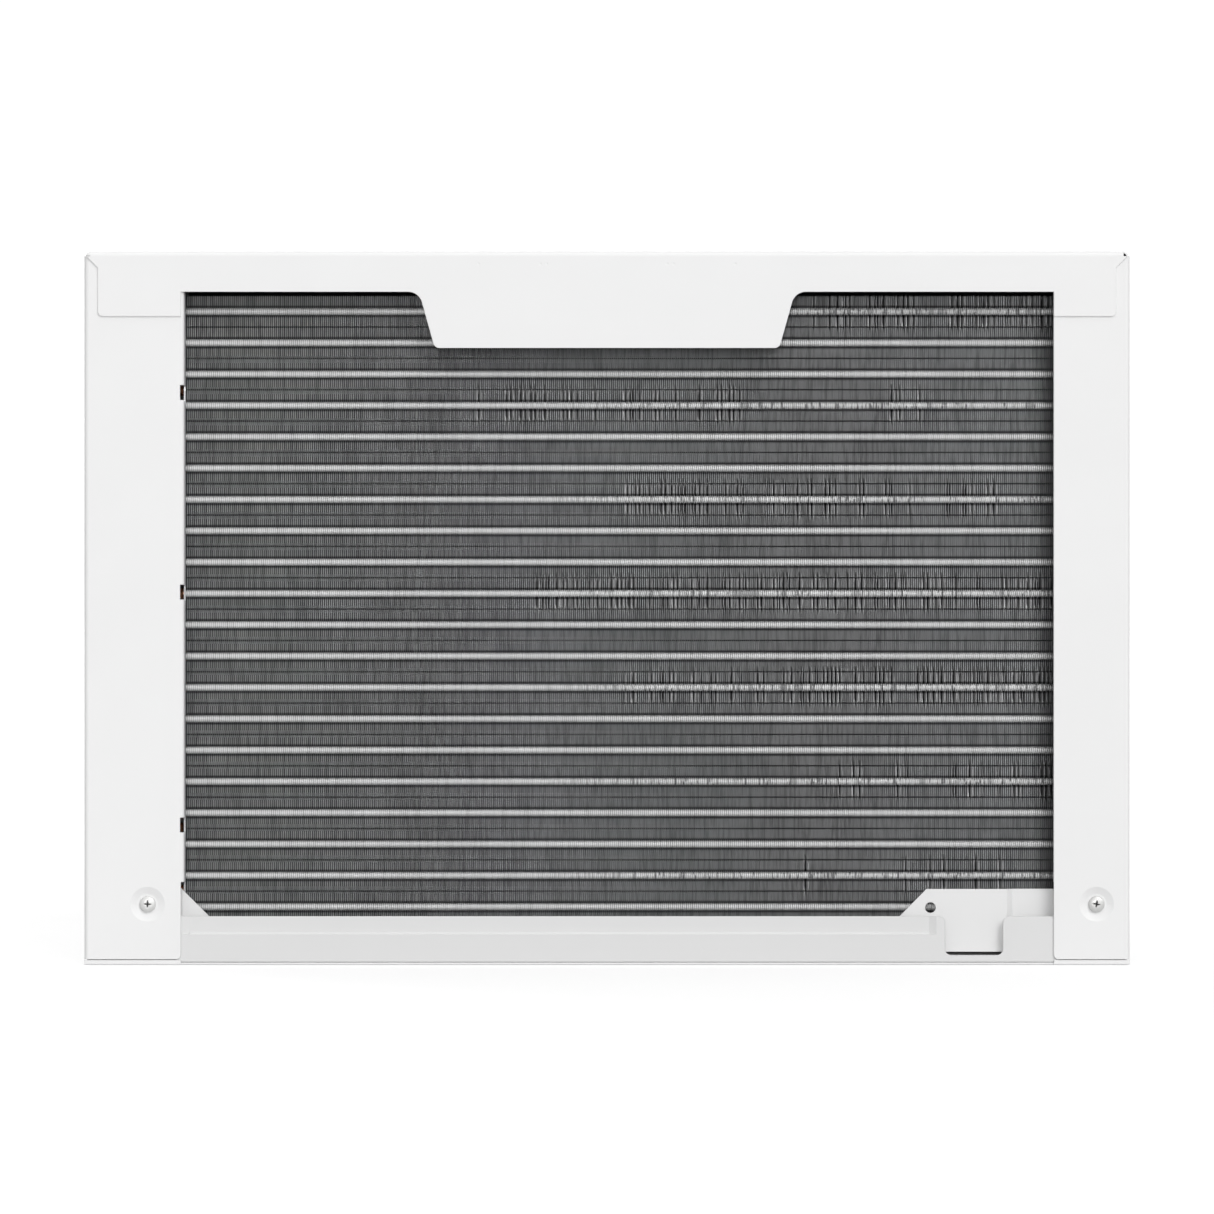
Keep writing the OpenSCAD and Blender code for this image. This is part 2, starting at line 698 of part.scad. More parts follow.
// Forward-curved blower: a back plate, a front ring and a cage of thin blades
module blower_wheel() {
    r = blower_d / 2;
    blade_t = 1.2;
    color("ghostwhite") translate([shaft_x, 0, shaft_z]) {
        for (i = [0:blower_blades - 1]) rotate([0, i * 360 / blower_blades, 0])
            along_y(blower_y0 + 1, blower_y1) intersection() {
                translate([r - 2, 11]) difference() {
                    circle(17);
                    circle(17 - blade_t);
                }
                rect([r - 19, -6], [r - 2.2, 4]);
            }
        difference() {
            union() {
                rod_y(blower_y1 - 2.5, blower_y1, 0, 0, r - 1);
                rod_y(blower_y1 - 40, blower_y1, 0, 0, 17);
                difference() {
                    rod_y(blower_y0, blower_y0 + 5, 0, 0, r);
                    rod_y(blower_y0 - 1, blower_y0 + 6, 0, 0, r - 15);
                }
            }
            rod_y(blower_y1 - 50, blower_y1 + 5, 0, 0, shaft_r);
        }
    }
}

module fan_motor() {
    r = motor_r;
    color("silver") difference() {
        union() {
            rod_y(motor_y0 + 14, motor_y1 - 14, shaft_x, shaft_z, r);
            rod_y(motor_y0 + 6, motor_y1 - 6, shaft_x, shaft_z, r - 7);
            rod_y(motor_y0, motor_y1, shaft_x, shaft_z, 30);
            rod_y(motor_y0 - 8, motor_y1 + 8, shaft_x, shaft_z, 13);
            // ribs of the joint between the two shells
            rod_y(3, 7, shaft_x, shaft_z, r + 4);
        }
        rod_y(motor_y0 - 10, motor_y1 + 10, shaft_x, shaft_z, shaft_r + 0.08);
        for (a = [0:30:359]) translate([shaft_x, 0, shaft_z]) rotate([0, a, 0])
            translate([42, motor_y1 - 9, -4]) cube([9, 5, 8]);
    }
}

module motor_stand() {
    w = 46;
    foot = 18;
    color("lightgray") difference() {
        union() {
            along_y(-20, 30) difference() {
                polygon([[shaft_x - w, pan_floor], [shaft_x + w, pan_floor],
                         [shaft_x + w - 8, shaft_z - 40], [shaft_x - w + 8, shaft_z - 40]]);
                polygon([[shaft_x - w + 3, pan_floor - 1], [shaft_x + w - 3, pan_floor - 1],
                         [shaft_x + w - 11, shaft_z - 80], [shaft_x - w + 11, shaft_z - 80]]);
            }
            for (x = [shaft_x - w - foot, shaft_x + w - 4])
                span([x, -20, pan_floor], [x + foot + 4, 30, pan_floor + 2.4]);
        }
        rod_y(-25, 35, shaft_x, shaft_z, motor_r);
        rod_y(2, 8, shaft_x, shaft_z, motor_r + 4.4);
        for (x = [-w - 10, w + 10]) rod_z(pan_floor - 1, pan_floor + 8, shaft_x + x, 5, 3);
    }
}

module bulkhead() {
    color("lightgray") difference() {
        union() {
            span([-inner_half_w, bulkhead_y, pan_floor], [inner_half_w, bulkhead_y + bulkhead_t, inner_top]);
            // folded edges
            span([-inner_half_w, bulkhead_y, inner_top - 1.5], [inner_half_w, bulkhead_y + 14, inner_top]);
            for (x = [-inner_half_w, inner_half_w - 1.5])
                span([x, bulkhead_y, 40], [x + 1.5, bulkhead_y + 14, inner_top]);
            // hinge lugs of the vent door
            for (z = [340, 403.4])
                span([vent_hinge_x - 3, vent_y - 4, z], [vent_hinge_x + 5, bulkhead_y + eps, z + 4.6]);
        }
        rod_z(335, 410, vent_hinge_x + 1, vent_y, 2.08);
        rod_y(bulkhead_y - 5, bulkhead_y + 20, shaft_x, shaft_z, 22);
        // fresh air opening
        along_y(bulkhead_y - 5, bulkhead_y + 5) soft_rect([150, 352], [200, 396], 4);
        // holes for the pipes
        rod_y(bulkhead_y - 5, bulkhead_y + 5, 134, 300, 9);
        rod_y(bulkhead_y - 5, bulkhead_y + 5, 134, 58, 7);
    }
}

// Outline of the air passage round the blower, grown by g, drawn in X and Z
module scroll_outline(g) {
    r = blower_d / 2;
    start = g > 0 ? 65 : 60;
    spiral = [for (a = [start:5:360]) let (d = r + 6 + g + 34 * (a - start) / 300)
        [shaft_x + d * cos(a), shaft_z + d * sin(a)]];
    right = shaft_x + r + 40 + g;
    polygon(concat(spiral, [[right, duct_z0 - 12], [duct_x1 + g, duct_z0 - g], [duct_x1 + g, duct_z1 + g],
        [duct_x0 - g, duct_z1 + g], [duct_x0 - g, duct_z0 - g], [-11 - g, duct_z0 - g]]));
}

module air_scroll() {
    t = 2.5;
    y0 = scroll_y0 + 4;
    y1 = scroll_y1;
    color("whitesmoke") difference() {
        union() {
            along_y(y0, y1) scroll_outline(t);
            // duct that leads forward over the evaporator
            along_y(pan_front + 1, y0 + 1) rect([duct_x0 - t, duct_z0 - t], [duct_x1 + t, duct_z1 + t]);
        }
        along_y(y0 + t, y1 - t) scroll_outline(0);
        along_y(pan_front, y0 + t + 1) rect([duct_x0 + 0.1, duct_z0 + 0.1], [duct_x1 - 0.1, duct_z1 - 0.1]);
        // inlet eye
        rod_y(y0 - 5, y0 + t + 1, shaft_x, shaft_z, blower_d / 2 + 1);
        // shaft hole
        rod_y(y1 - t - 1, y1 + 5, shaft_x, shaft_z, 22);
    }
}

// Baffle behind the evaporator with a bell-mouth ring in front of the blower
module inlet_orifice() {
    r = blower_d / 2;
    color("lightgray") difference() {
        union() {
            along_y(scroll_y0 + 1, scroll_y0 + 4) rect([-302, evap_z0 - 3], [122, duct_z0 - 6]);
            rod_y(scroll_y0 + 1, scroll_y0 + 10, shaft_x, shaft_z, r - 18);
        }
        rod_y(scroll_y0 - 1, scroll_y0 + 14, shaft_x, shaft_z, r - 21);
    }
}

module evaporator_fins() {
    color("lightsteelblue") fold_pack(evap_x0, evap_x1, evap_y0, evap_y1, evap_z0, evap_z1);
}

module evaporator_tubes() {
    color("peru") {
        serpentine(evap_x0 - 3, evap_x1 + 3, evap_y0 + 9.5, evap_z0 + 10.5,
            evap_pitch, evaporator_rows, tube_d / 2);
        serpentine(evap_x0 - 3, evap_x1 + 3, evap_y0 + 29.5, evap_z0 + 21,
            evap_pitch, evaporator_rows, tube_d / 2);
    }
}

module evaporator_end_plates() {
    color("silver") for (x = [evap_x0 - 1.6, evap_x1 + 0.4]) difference() {
        span([x, evap_y0 - 1, evap_z0 - 3], [x + 1.2, scroll_y0 + 1, evap_z1 + 4]);
        for (i = [0:evaporator_rows - 1])
            rod_x(x - 2, x + 4, evap_y0 + 9.5, evap_z0 + 10.5 + i * evap_pitch, tube_d / 2 + 0.1);
        for (i = [0:evaporator_rows - 1])
            rod_x(x - 2, x + 4, evap_y0 + 29.5, evap_z0 + 21 + i * evap_pitch, tube_d / 2 + 0.1);
    }
}

module evaporator_tray() {
    color("whitesmoke") difference() {
        span([-312, pan_front + 2, pan_floor], [130, scroll_y0 + 4, evap_z0 - 3]);
        span([-308, pan_front + 6, pan_floor + 6], [126, scroll_y0 - 1, evap_z0]);
        rod_y(scroll_y0 - 3, scroll_y0 + 8, 110, 17, 4);
    }
}

// ---------- refrigeration ----------

module compressor() {
    top_r = 100;
    low_r = 135.6;
    color("dimgray") {
        rod_z(comp_z0 + 14, comp_z1 - 20, comp_x, comp_y, comp_r);
        // domed ends
        intersection() {
            translate([comp_x, comp_y, comp_z1 - top_r]) sphere(top_r, $fn = 96);
            rod_z(comp_z1 - 20 - eps, comp_z1, comp_x, comp_y, comp_r);
        }
        intersection() {
            translate([comp_x, comp_y, comp_z0 + low_r]) sphere(low_r, $fn = 96);
            rod_z(comp_z0, comp_z0 + 14 + eps, comp_x, comp_y, comp_r);
        }
        // weld seams
        for (z = [comp_z0 + 30, comp_z1 - 34]) rod_z(z, z + 4, comp_x, comp_y, comp_r + 2);
        // terminal cover
        span([comp_x - 22, comp_y - 26, comp_z1 - 8], [comp_x + 18, comp_y + 8, comp_z1 + 18]);
        // feet
        for (a = [90, 210, 330]) translate([comp_x, comp_y, comp_z0 - 4]) rotate([0, 0, a])
            difference() {
                translate([30, -18, 0]) cube([56, 36, 3]);
                translate([73, 0, -1]) cylinder(h = 6, r = 6);
            }
        rod_z(comp_z0 - 4, comp_z0 + 2, comp_x, comp_y, comp_r - 14);
    }
}

module accumulator() {
    color("dimgray") {
        rod_z(70, 226, comp_x, comp_y + 92, 24);
        rod_z(62, 234, comp_x, comp_y + 92, 17);
        rod_z(48, 64, comp_x, comp_y + 92, 5);
        rod_z(232, 246, comp_x, comp_y + 92, 6);
        // strap to the compressor
        span([comp_x - 8, comp_y + comp_r - 1, 150], [comp_x + 8, comp_y + 70, 166]);
    }
}

module compressor_mounts() {
    for (a = [90, 210, 330]) translate([comp_x, comp_y, 0]) rotate([0, 0, a]) translate([73, 0, 0]) {
        color("black") difference() {
            union() {
                translate([0, 0, pan_floor + 1.5]) cylinder(h = comp_z0 - 5.5 - pan_floor, r = 13);
                translate([0, 0, pan_floor + 1.5]) cylinder(h = comp_z0 + 0.5 - pan_floor, r = 5.8);
            }
            cylinder(h = 60, r = 3.3);
        }
        color("silver") {
            translate([0, 0, pan_floor + 1.5]) cylinder(h = 30, r = 3);
            translate([0, 0, comp_z0 + 2]) cylinder(h = 1.2, r = 10);
            translate([0, 0, comp_z0 + 3.2 - eps]) cylinder(h = 5, r = 6.5, $fn = 6);
        }
    }
}

// The paths of the copper pipes
suction_path = [[evap_x1 + 3, evap_y0 + 29.5, evap_z0 + 252], [134, evap_y0 + 29.5, evap_z0 + 252],
                [134, -140, 300], [134, 20, 300], [134, 110, 310], [comp_x, comp_y + 92, 310],
                [comp_x, comp_y + 92, 246]];
discharge_path = [[comp_x + 32, comp_y, comp_z1 - 7], [comp_x + 32, comp_y, 330], [278, 150, 350],
                  [284, 220, 390], [285, coil_rear - 6.5, top_row_z],
                  [coil_x1 + 3, coil_rear - 6.5, top_row_z]];
liquid_z = top_row_z - 1.5 * tube_pitch;
liquid_path = [[coil_x1 + 3, coil_rear - 19.5, liquid_z], [290, coil_rear - 19.5, liquid_z],
               [300, 252, 340], [300, 200, 290], [300, 200, 214]];
crossover_path = [[coil_x1 + 3, coil_rear - 6.5, row0_z], [coil_x1 + 14, coil_rear - 6.5, row0_z],
                  [coil_x1 + 14, coil_rear - 19.5, row0_z + tube_pitch / 2],
                  [coil_x1 + 3, coil_rear - 19.5, row0_z + tube_pitch / 2]];
evaporator_crossover = [[evap_x1 + 3, evap_y0 + 9.5, evap_z0 + 10.5],
                        [evap_x1 + 14, evap_y0 + 9.5, evap_z0 + 10.5],
                        [evap_x1 + 14, evap_y0 + 29.5, evap_z0 + 21],
                        [evap_x1 + 3, evap_y0 + 29.5, evap_z0 + 21]];
capillary_path = [[300, 200, 130], [300, 200, 104], [300, 120, 90], [300, 20, 110], [290, -48, 110],
                  [250, -70, 58], [134, -70, 58], [134, -150, 58], [132, -190, 120], [132, -228, 262],
                  [130, evap_y0 + 9.5, evap_z0 + 241.5], [evap_x1 + 3, evap_y0 + 9.5, evap_z0 + 241.5]];

module suction_pipe() {
    color("peru") {
        pipe(suction_path, 5, 22);
        pipe(evaporator_crossover, tube_d / 2, 8);
    }
}

module discharge_pipe() {
    color("peru") pipe(discharge_path, 3.5, 22);
}

module liquid_pipe() {
    color("peru") {
        pipe(liquid_path, 3.2, 20);
        pipe(crossover_path, tube_d / 2, 8);
        pipe(capillary_path, 1.6, 16, 6);
    }
}

module filter_drier() {
    color("peru") translate([300, 200, 130]) {
        cylinder(h = 10, r1 = 2, r2 = 9);
        translate([0, 0, 10 - eps]) cylinder(h = 64, r = 9);
        translate([0, 0, 74 - 2 * eps]) cylinder(h = 10 + 2 * eps, r1 = 9, r2 = 3.4);
    }
}

// ---------- electrical ----------

module control_box() {
    lo = [168, -250, 120];
    hi = [312, bulkhead_y, 318];
    t = 1.2;
    color("lightgray") difference() {
        span(lo, hi);
        span(lo + [t, t, t], [hi[0] - t, hi[1] - t, hi[2] + 1]);
        // cooling slots in the side wall
        for (z = [250, 270, 290]) span([lo[0] - 1, -200, z], [lo[0] + 2, -140, z + 5]);
    }
}

module run_capacitor() {
    color("silver") {
        rod_z(121.2, 196, 206, -130, 22);
        for (x = [-8, 8]) span([206 + x - 3, -130.5, 195], [206 + x + 3, -129.5, 206]);
    }
}

module circuit_board() {
    color("darkgreen") {
        span([180, -244, 130], [300, -242.4, 300]);
        for (x = [186, 294], z = [136, 294]) rod_y(-248.8, -243, x, z, 3);
        span([190, -242.5, 250], [225, -222, 285]);
        for (x = [240, 262, 284]) span([x, -242.5, 255], [x + 14, -224, 280]);
        rod_y(-242.5, -222, 205, 170, 11);
        span([250, -242.5, 150], [290, -214, 190]);
    }
}

// Strain relief bush for the mains lead, in the right side wall of the front panel
module cord_gland() {
    x = panel_half_w;
    color("black") difference() {
        union() {
            rod_x(x - 14, x + 1.6, -276, 30, 8);
            rod_x(x - wall_t - 3, x - wall_t - 0.1, -276, 30, 11);
        }
        rod_x(x - 20, x + 4, -276, 30, 4.5);
    }
}

// ---------- front panel ----------

module front_outline(grow) {
    soft_rect([-panel_half_w - grow, panel_z0 - grow], [panel_half_w + grow, panel_z1 + grow], 10 + grow);
}

module front_panel() {
    color("white") difference() {
        union() {
            along_y(fascia_y, fascia_y + wall_t) front_outline(0);
            // ears that hold the grille's hinge pins
            for (s = [-1, 1]) span([s > 0 ? inlet_half_w + 1 : -inlet_half_w - 7, fascia_y + 1, hinge_z - 8],
                [s > 0 ? inlet_half_w + 7 : -inlet_half_w - 1, fascia_y + 14, hinge_z + 8]);
            // bracket that carries the filter's upper channel
            span([20, grille_back_y + 2, filter_z1 + 1], [24, filter_y - 4, filter_z1 + 5]);
            span([20, grille_back_y + 2, filter_z1 + 1], [24, grille_back_y + 6, inlet_z1 + 8]);
            span([20, fascia_y + 1, inlet_z1 + 4], [24, grille_back_y + 6, inlet_z1 + 8]);
        }
        along_y(fascia_y - 1, fascia_y + wall_t + 1) {
            soft_rect([-inlet_half_w, inlet_z0], [inlet_half_w, inlet_z1], 3);
            soft_rect([outlet_x0, outlet_z0], [outlet_x1, outlet_z1], 5);
            soft_rect([control_x0, outlet_z0], [control_x1, outlet_z1], 5);
            // slot of the vent lever
            soft_rect([lever_x - 5, lever_z - 1.8], [lever_x + 32, lever_z + 1.8], 1.7);
        }
        for (s = [-1, 1]) rod_x(s > 0 ? inlet_half_w - 1 : -inlet_half_w - 9,
            s > 0 ? inlet_half_w + 9 : -inlet_half_w + 1, hinge_y, hinge_z, hinge_pin_r + 0.08);
    }
}

// Walls behind the front panel, with the channels that the filter slides in
module front_frame() {
    front = fascia_y + wall_t;
    rear = y_cabinet - 0.5;
    color("white") difference() {
        union() {
            difference() {
                along_y(front, rear) front_outline(0);
                along_y(front - 1, rear + 1) front_outline(-wall_t);
            }
            // channels above and below the filter
            for (z = [filter_z0 - 5, filter_z1 - 6], y = [filter_y - 4, filter_y + filter_t + 1])
                span([-panel_half_w + 1, y, z], [filter_x1 + 6, y + 3, z + 11]);
            for (z = [filter_z0 - 5, filter_z1 + 1])
                span([-panel_half_w + 1, filter_y - 4, z], [filter_x1 + 6, filter_y + filter_t + 4, z + 4]);
            // post under the lower channel
            span([20, filter_y - 4, panel_z0 + 1], [24, filter_y + filter_t + 4, filter_z0 - 4]);
        }
        // slot for the filter in the left wall
        span([-half_w, filter_y - 0.6, filter_z0 - 0.6],
            [-panel_half_w + 8, filter_y + filter_t + 0.6, filter_z1 + 0.6]);
        // hole for the cord gland
        rod_x(panel_half_w - 20, half_w, -276, 30, 8.1);
        // air slits under the panel
        for (i = [-6:6]) span([i * 40 - 14, -300, 0], [i * 40 + 14, -294, panel_z0 + wall_t + 1]);
    }
}

module outlet_duct() {
    t = 2;
    y0 = fascia_y + wall_t + 0.2;
    y1 = y_cabinet - 1;
    color("ghostwhite") difference() {
        along_y(y0, y1) rect([outlet_x0 - t, outlet_z0 - t - 2], [outlet_x1 + t, outlet_z1 + t]);
        along_y(y0 - 1, y1 + 1) rect([outlet_x0, outlet_z0 - 2], [outlet_x1, outlet_z1]);
        // vane pivots, above and below
        for (i = [0:vane_count - 1])
            rod_z(outlet_z0 - 10, outlet_z1 + 10, vane_x0 + i * vane_pitch, vane_y, 2.08);
        // louvre pivots
        for (z = louver_zs) rod_x(outlet_x0 - 5, outlet_x1 + 5, louver_y, z, 2.08);
    }
}

module louver(i) {
    t = 2.2;
    z = louver_zs[i];
    color("ghostwhite") {
        difference() {
            along_x(outlet_x0 + 1, outlet_x1 - 1) translate([louver_y, z]) {
                soft_rect([-louver_chord / 2, -t / 2], [louver_chord / 2, t / 2], t / 2 - 0.05);
                circle(2.6);
            }
            // notch for the link bar
            span([louver_link_x - 1, louver_y + 3, z - 3], [louver_link_x + 4, louver_y + 14, z + 3]);
        }
        rod_x(outlet_x0 - 1.6, outlet_x0 + 2, louver_y, z, 2);
        rod_x(outlet_x1 - 2, outlet_x1 + 1.6, louver_y, z, 2);
        rod_x(louver_link_x - 2, louver_link_x + 5, louver_y + louver_arm, z, 1.2);
    }
}

// Upright bar that ties the louvres together
module louver_link() {
    low = louver_zs[0];
    high = louver_zs[len(louver_zs) - 1];
    color("ghostwhite") along_x(louver_link_x, louver_link_x + 3) translate([louver_y + louver_arm, 0])
        difference() {
            soft_rect([-3, low - 4], [3, high + 4], 2.9);
            for (z = louver_zs) translate([0, z]) circle(1.28);
        }
}

module vane(i) {
    t = 1.8;
    x = vane_x0 + i * vane_pitch;
    color("ghostwhite") {
        translate([x, vane_y, vane_z0]) linear_extrude(vane_z1 - vane_z0) {
            soft_rect([-t / 2, -17], [t / 2, 22], t / 2 - 0.05);
            circle(2.8);
        }
        rod_z(outlet_z0 - 3.6, outlet_z1 + 1.6, x, vane_y, 2);
        rod_z(outlet_z0 - 1.5, vane_z0 + 1, x, vane_y + link_arm, 1.5);
    }
}

module vane_link() {
    x1 = vane_x0 + (vane_count - 1) * vane_pitch;
    color("ghostwhite") translate([0, 0, link_z]) linear_extrude(3) difference() {
        soft_rect([vane_x0 - 7, vane_y + link_arm - 4], [x1 + 7, vane_y + link_arm + 4], 3.9);
        for (i = [0:vane_count - 1])
            translate([vane_x0 + i * vane_pitch, vane_y + link_arm]) circle(1.58);
    }
}

module inlet_grille() {
    z0 = hinge_z - 6;
    z1 = inlet_z1 - 2;
    x1 = inlet_half_w - 2;
    rail = 12;
    pitch = (z1 - z0 - 2 * rail) / slat_count;
    color("white") difference() {
        union() {
            difference() {
                along_y(y_front, grille_back_y) soft_rect([-x1, z0], [x1, z1], 4);
                along_y(y_front - 1, y_front + 10)
                    rect([-x1 + rail, z0 + rail], [x1 - rail, z1 - rail]);
            }
            for (i = [0:slat_count - 1]) along_x(-x1 + rail - 1, x1 - rail + 1)
                translate([y_front + 1, z0 + rail + (i + 0.5) * pitch]) rotate(-28)
                    rect([0, -0.9], [9, 0.9]);
            for (x = [-200, -100, 0, 100, 200])
                span([x - 1.2, y_front + 5.5, z0 + 4], [x + 1.2, grille_back_y, z1 - 4]);
            for (s = [-1, 1])
                rod_x(s > 0 ? x1 - 3 : -x1 - 7.5, s > 0 ? x1 + 7.5 : -x1 + 3, hinge_y, hinge_z, hinge_pin_r);
        }
        // finger notches in the top edge
        for (x = [-240, 240])
            along_y(y_front - 1, y_front + 4) soft_rect([x - 22, z1 - 5], [x + 22, z1 + 5], 4);
    }
}

module air_filter() {
    x0 = -panel_half_w;
    color("dimgray") {
        difference() {
            span([x0, filter_y, filter_z0], [filter_x1, filter_y + filter_t, filter_z1]);
            for (i = [0:3], j = [0:2]) span([x0 + 22 + i * 106, filter_y - 1, filter_z0 + 8 + j * 83],
                [x0 + 22 + i * 106 + 100, filter_y + filter_t + 1, filter_z0 + 8 + j * 83 + 78]);
            // grip recess at the outer end
            span([x0 + 3, filter_y - 1, 150], [x0 + 9, filter_y + 2, 196]);
        }
        // mesh sheet
        span([x0 + 20, filter_y + 1.7, filter_z0 + 6], [filter_x1 - 6, filter_y + 2.3, filter_z1 - 6]);
    }
}

module control_fascia() {
    color("white") difference() {
        along_y(fascia_y, fascia_y + wall_t)
            soft_rect([control_x0 + 0.3, outlet_z0 + 0.3], [control_x1 - 0.3, outlet_z1 - 0.3], 4.7);
        along_y(fascia_y - 1, fascia_y + 5) soft_rect([176, 378], [240, 412], 2);
        for (b = button_spots) rod_y(fascia_y - 1, fascia_y + 5, b[0], b[1], b[2] + 0.4);
    }
}

module display_window() {
    color("black") {
        along_y(fascia_y, fascia_y + 2) soft_rect([176.2, 378.2], [239.8, 411.8], 1.8);
        span([174, fascia_y + wall_t + 0.1, 376], [244, fascia_y + wall_t + 3, 414]);
    }
}

// Board with one small switch behind each button
module switch_board() {
    y = fascia_y + wall_t + 5.9;
    color("darkgreen") {
        span([172, y, 345], [308, y + 1.6, 420]);
        for (b = button_spots) span([b[0] - 3, y - 0.5, b[1] - 3], [b[0] + 3, y + eps, b[1] + 3]);
        for (x = [176, 304], z = [349, 416]) rod_y(fascia_y + wall_t, y + eps, x, z, 2);
    }
}

module button(i) {
    b = button_spots[i];
    color("silver") {
        rod_y(button_y, fascia_y + wall_t + 0.6, b[0], b[1], b[2]);
        // flange that stops the button from falling out
        rod_y(fascia_y + wall_t + 0.4, fascia_y + wall_t + 1.6, b[0], b[1], b[2] + 1.2);
        rod_y(fascia_y + wall_t + 1.5, fascia_y + wall_t + 4, b[0], b[1], 2);
    }
}

module vent_lever() {
    color("white") {
        along_y(y_front + 0.2, fascia_y + wall_t + 2)
            soft_rect([lever_x - 3, lever_z - 1.4], [lever_x + 3, lever_z + 1.4], 1);
        along_y(y_front, fascia_y - 0.4)
            soft_rect([lever_x - 4.5, lever_z - 6], [lever_x + 4.5, lever_z + 6], 2);
        along_y(fascia_y + wall_t + 0.4, fascia_y + wall_t + 2.4)
            soft_rect([lever_x - 9, lever_z - 5], [lever_x + 9, lever_z + 5], 1);
    }
}

module vent_door() {
    x = vent_hinge_x + 1;
    color("lightgray") {
        along_y(vent_y - 0.8, vent_y + 0.8) {
            soft_rect([x + 4, 346], [207, 402], 3);
            rect([x + 0.5, 350], [x + 8, 398]);
        }
        rod_z(341, 407, x, vent_y, 2);
    }
}

cabinet_top();
cabinet_side_right();
cabinet_side_left();
cabinet_base();
rear_screws();
base_pan();
pull_handle();
corner_plates();
condenser_fins();
condenser_tubes();
condenser_end_plates();
fan_shroud();
propeller_fan();
fan_shaft();
blower_wheel();
fan_motor();
motor_stand();
bulkhead();
air_scroll();
inlet_orifice();
evaporator_fins();
evaporator_tubes();
evaporator_end_plates();
evaporator_tray();
compressor();
accumulator();
compressor_mounts();
suction_pipe();
discharge_pipe();
liquid_pipe();
filter_drier();
control_box();
run_capacitor();
circuit_board();
cord_gland();
front_panel();
front_frame();
outlet_duct();
inlet_grille();
air_filter();
control_fascia();
display_window();
switch_board();
vane_link();
louver_link();
vent_lever();
vent_door();
for (i = [0:len(louver_names) - 1]) louver(i);
for (i = [0:vane_count - 1]) vane(i);
for (i = [0:len(button_names) - 1]) button(i);
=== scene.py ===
"""Looks of a window air conditioner with a slide-out chassis.

Everything is in metres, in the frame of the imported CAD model: +Z is up, the room side faces -Y and
the outdoor side faces +Y. Routes and spots that belong to one small piece are in millimetres.
"""

import json
import math

import bmesh
import bpy
import numpy as np
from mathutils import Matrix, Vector

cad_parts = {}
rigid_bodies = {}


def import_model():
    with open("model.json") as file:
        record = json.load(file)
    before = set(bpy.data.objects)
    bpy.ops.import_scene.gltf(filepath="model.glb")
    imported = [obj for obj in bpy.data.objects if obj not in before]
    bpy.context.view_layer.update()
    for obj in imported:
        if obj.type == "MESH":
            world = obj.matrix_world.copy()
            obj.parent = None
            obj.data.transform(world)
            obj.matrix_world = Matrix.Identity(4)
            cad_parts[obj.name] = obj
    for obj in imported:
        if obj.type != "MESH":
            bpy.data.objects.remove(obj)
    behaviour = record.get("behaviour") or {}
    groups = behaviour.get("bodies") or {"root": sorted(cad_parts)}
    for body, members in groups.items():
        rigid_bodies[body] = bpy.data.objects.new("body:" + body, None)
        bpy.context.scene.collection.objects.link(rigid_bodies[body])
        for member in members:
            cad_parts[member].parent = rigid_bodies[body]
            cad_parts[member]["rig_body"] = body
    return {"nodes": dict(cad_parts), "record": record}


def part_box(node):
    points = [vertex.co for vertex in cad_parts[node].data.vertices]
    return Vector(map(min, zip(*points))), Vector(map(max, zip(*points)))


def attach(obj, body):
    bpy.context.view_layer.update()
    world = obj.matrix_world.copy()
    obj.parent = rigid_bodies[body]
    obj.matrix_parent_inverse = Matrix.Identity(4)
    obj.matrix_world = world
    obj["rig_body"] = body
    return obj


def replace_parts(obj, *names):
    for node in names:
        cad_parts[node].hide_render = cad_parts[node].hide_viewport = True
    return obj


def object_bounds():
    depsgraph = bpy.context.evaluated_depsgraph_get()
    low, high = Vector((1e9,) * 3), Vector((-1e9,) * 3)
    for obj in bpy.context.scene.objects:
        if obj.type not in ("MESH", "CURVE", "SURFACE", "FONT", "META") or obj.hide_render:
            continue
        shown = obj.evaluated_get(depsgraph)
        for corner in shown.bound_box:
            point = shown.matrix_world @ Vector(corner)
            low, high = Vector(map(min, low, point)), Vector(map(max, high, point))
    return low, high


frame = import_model()
CAD_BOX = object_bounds()
NODES = frame["nodes"]
SLOT_OF = {part["node"]: part["material_slot"] for part in frame["record"]["subparts"]}
MM = 0.001
X, Y, Z = Vector((1, 0, 0)), Vector((0, 1, 0)), Vector((0, 0, 1))
# The scale of a texture that is alike along all axes
EVEN = (1, 1, 1)

# Tube rows of the condenser: the first one's height, the pitch and how many there are
ROW_0 = 35.5 * MM
ROW_GAP = 19.87 * MM
ROWS = 20
# The condenser's end on the -X side, which lies in the shade of the side panel
COIL_END = -0.284
TUBE_R = 3.2 * MM


# ---------------------------------------------------------------- materials


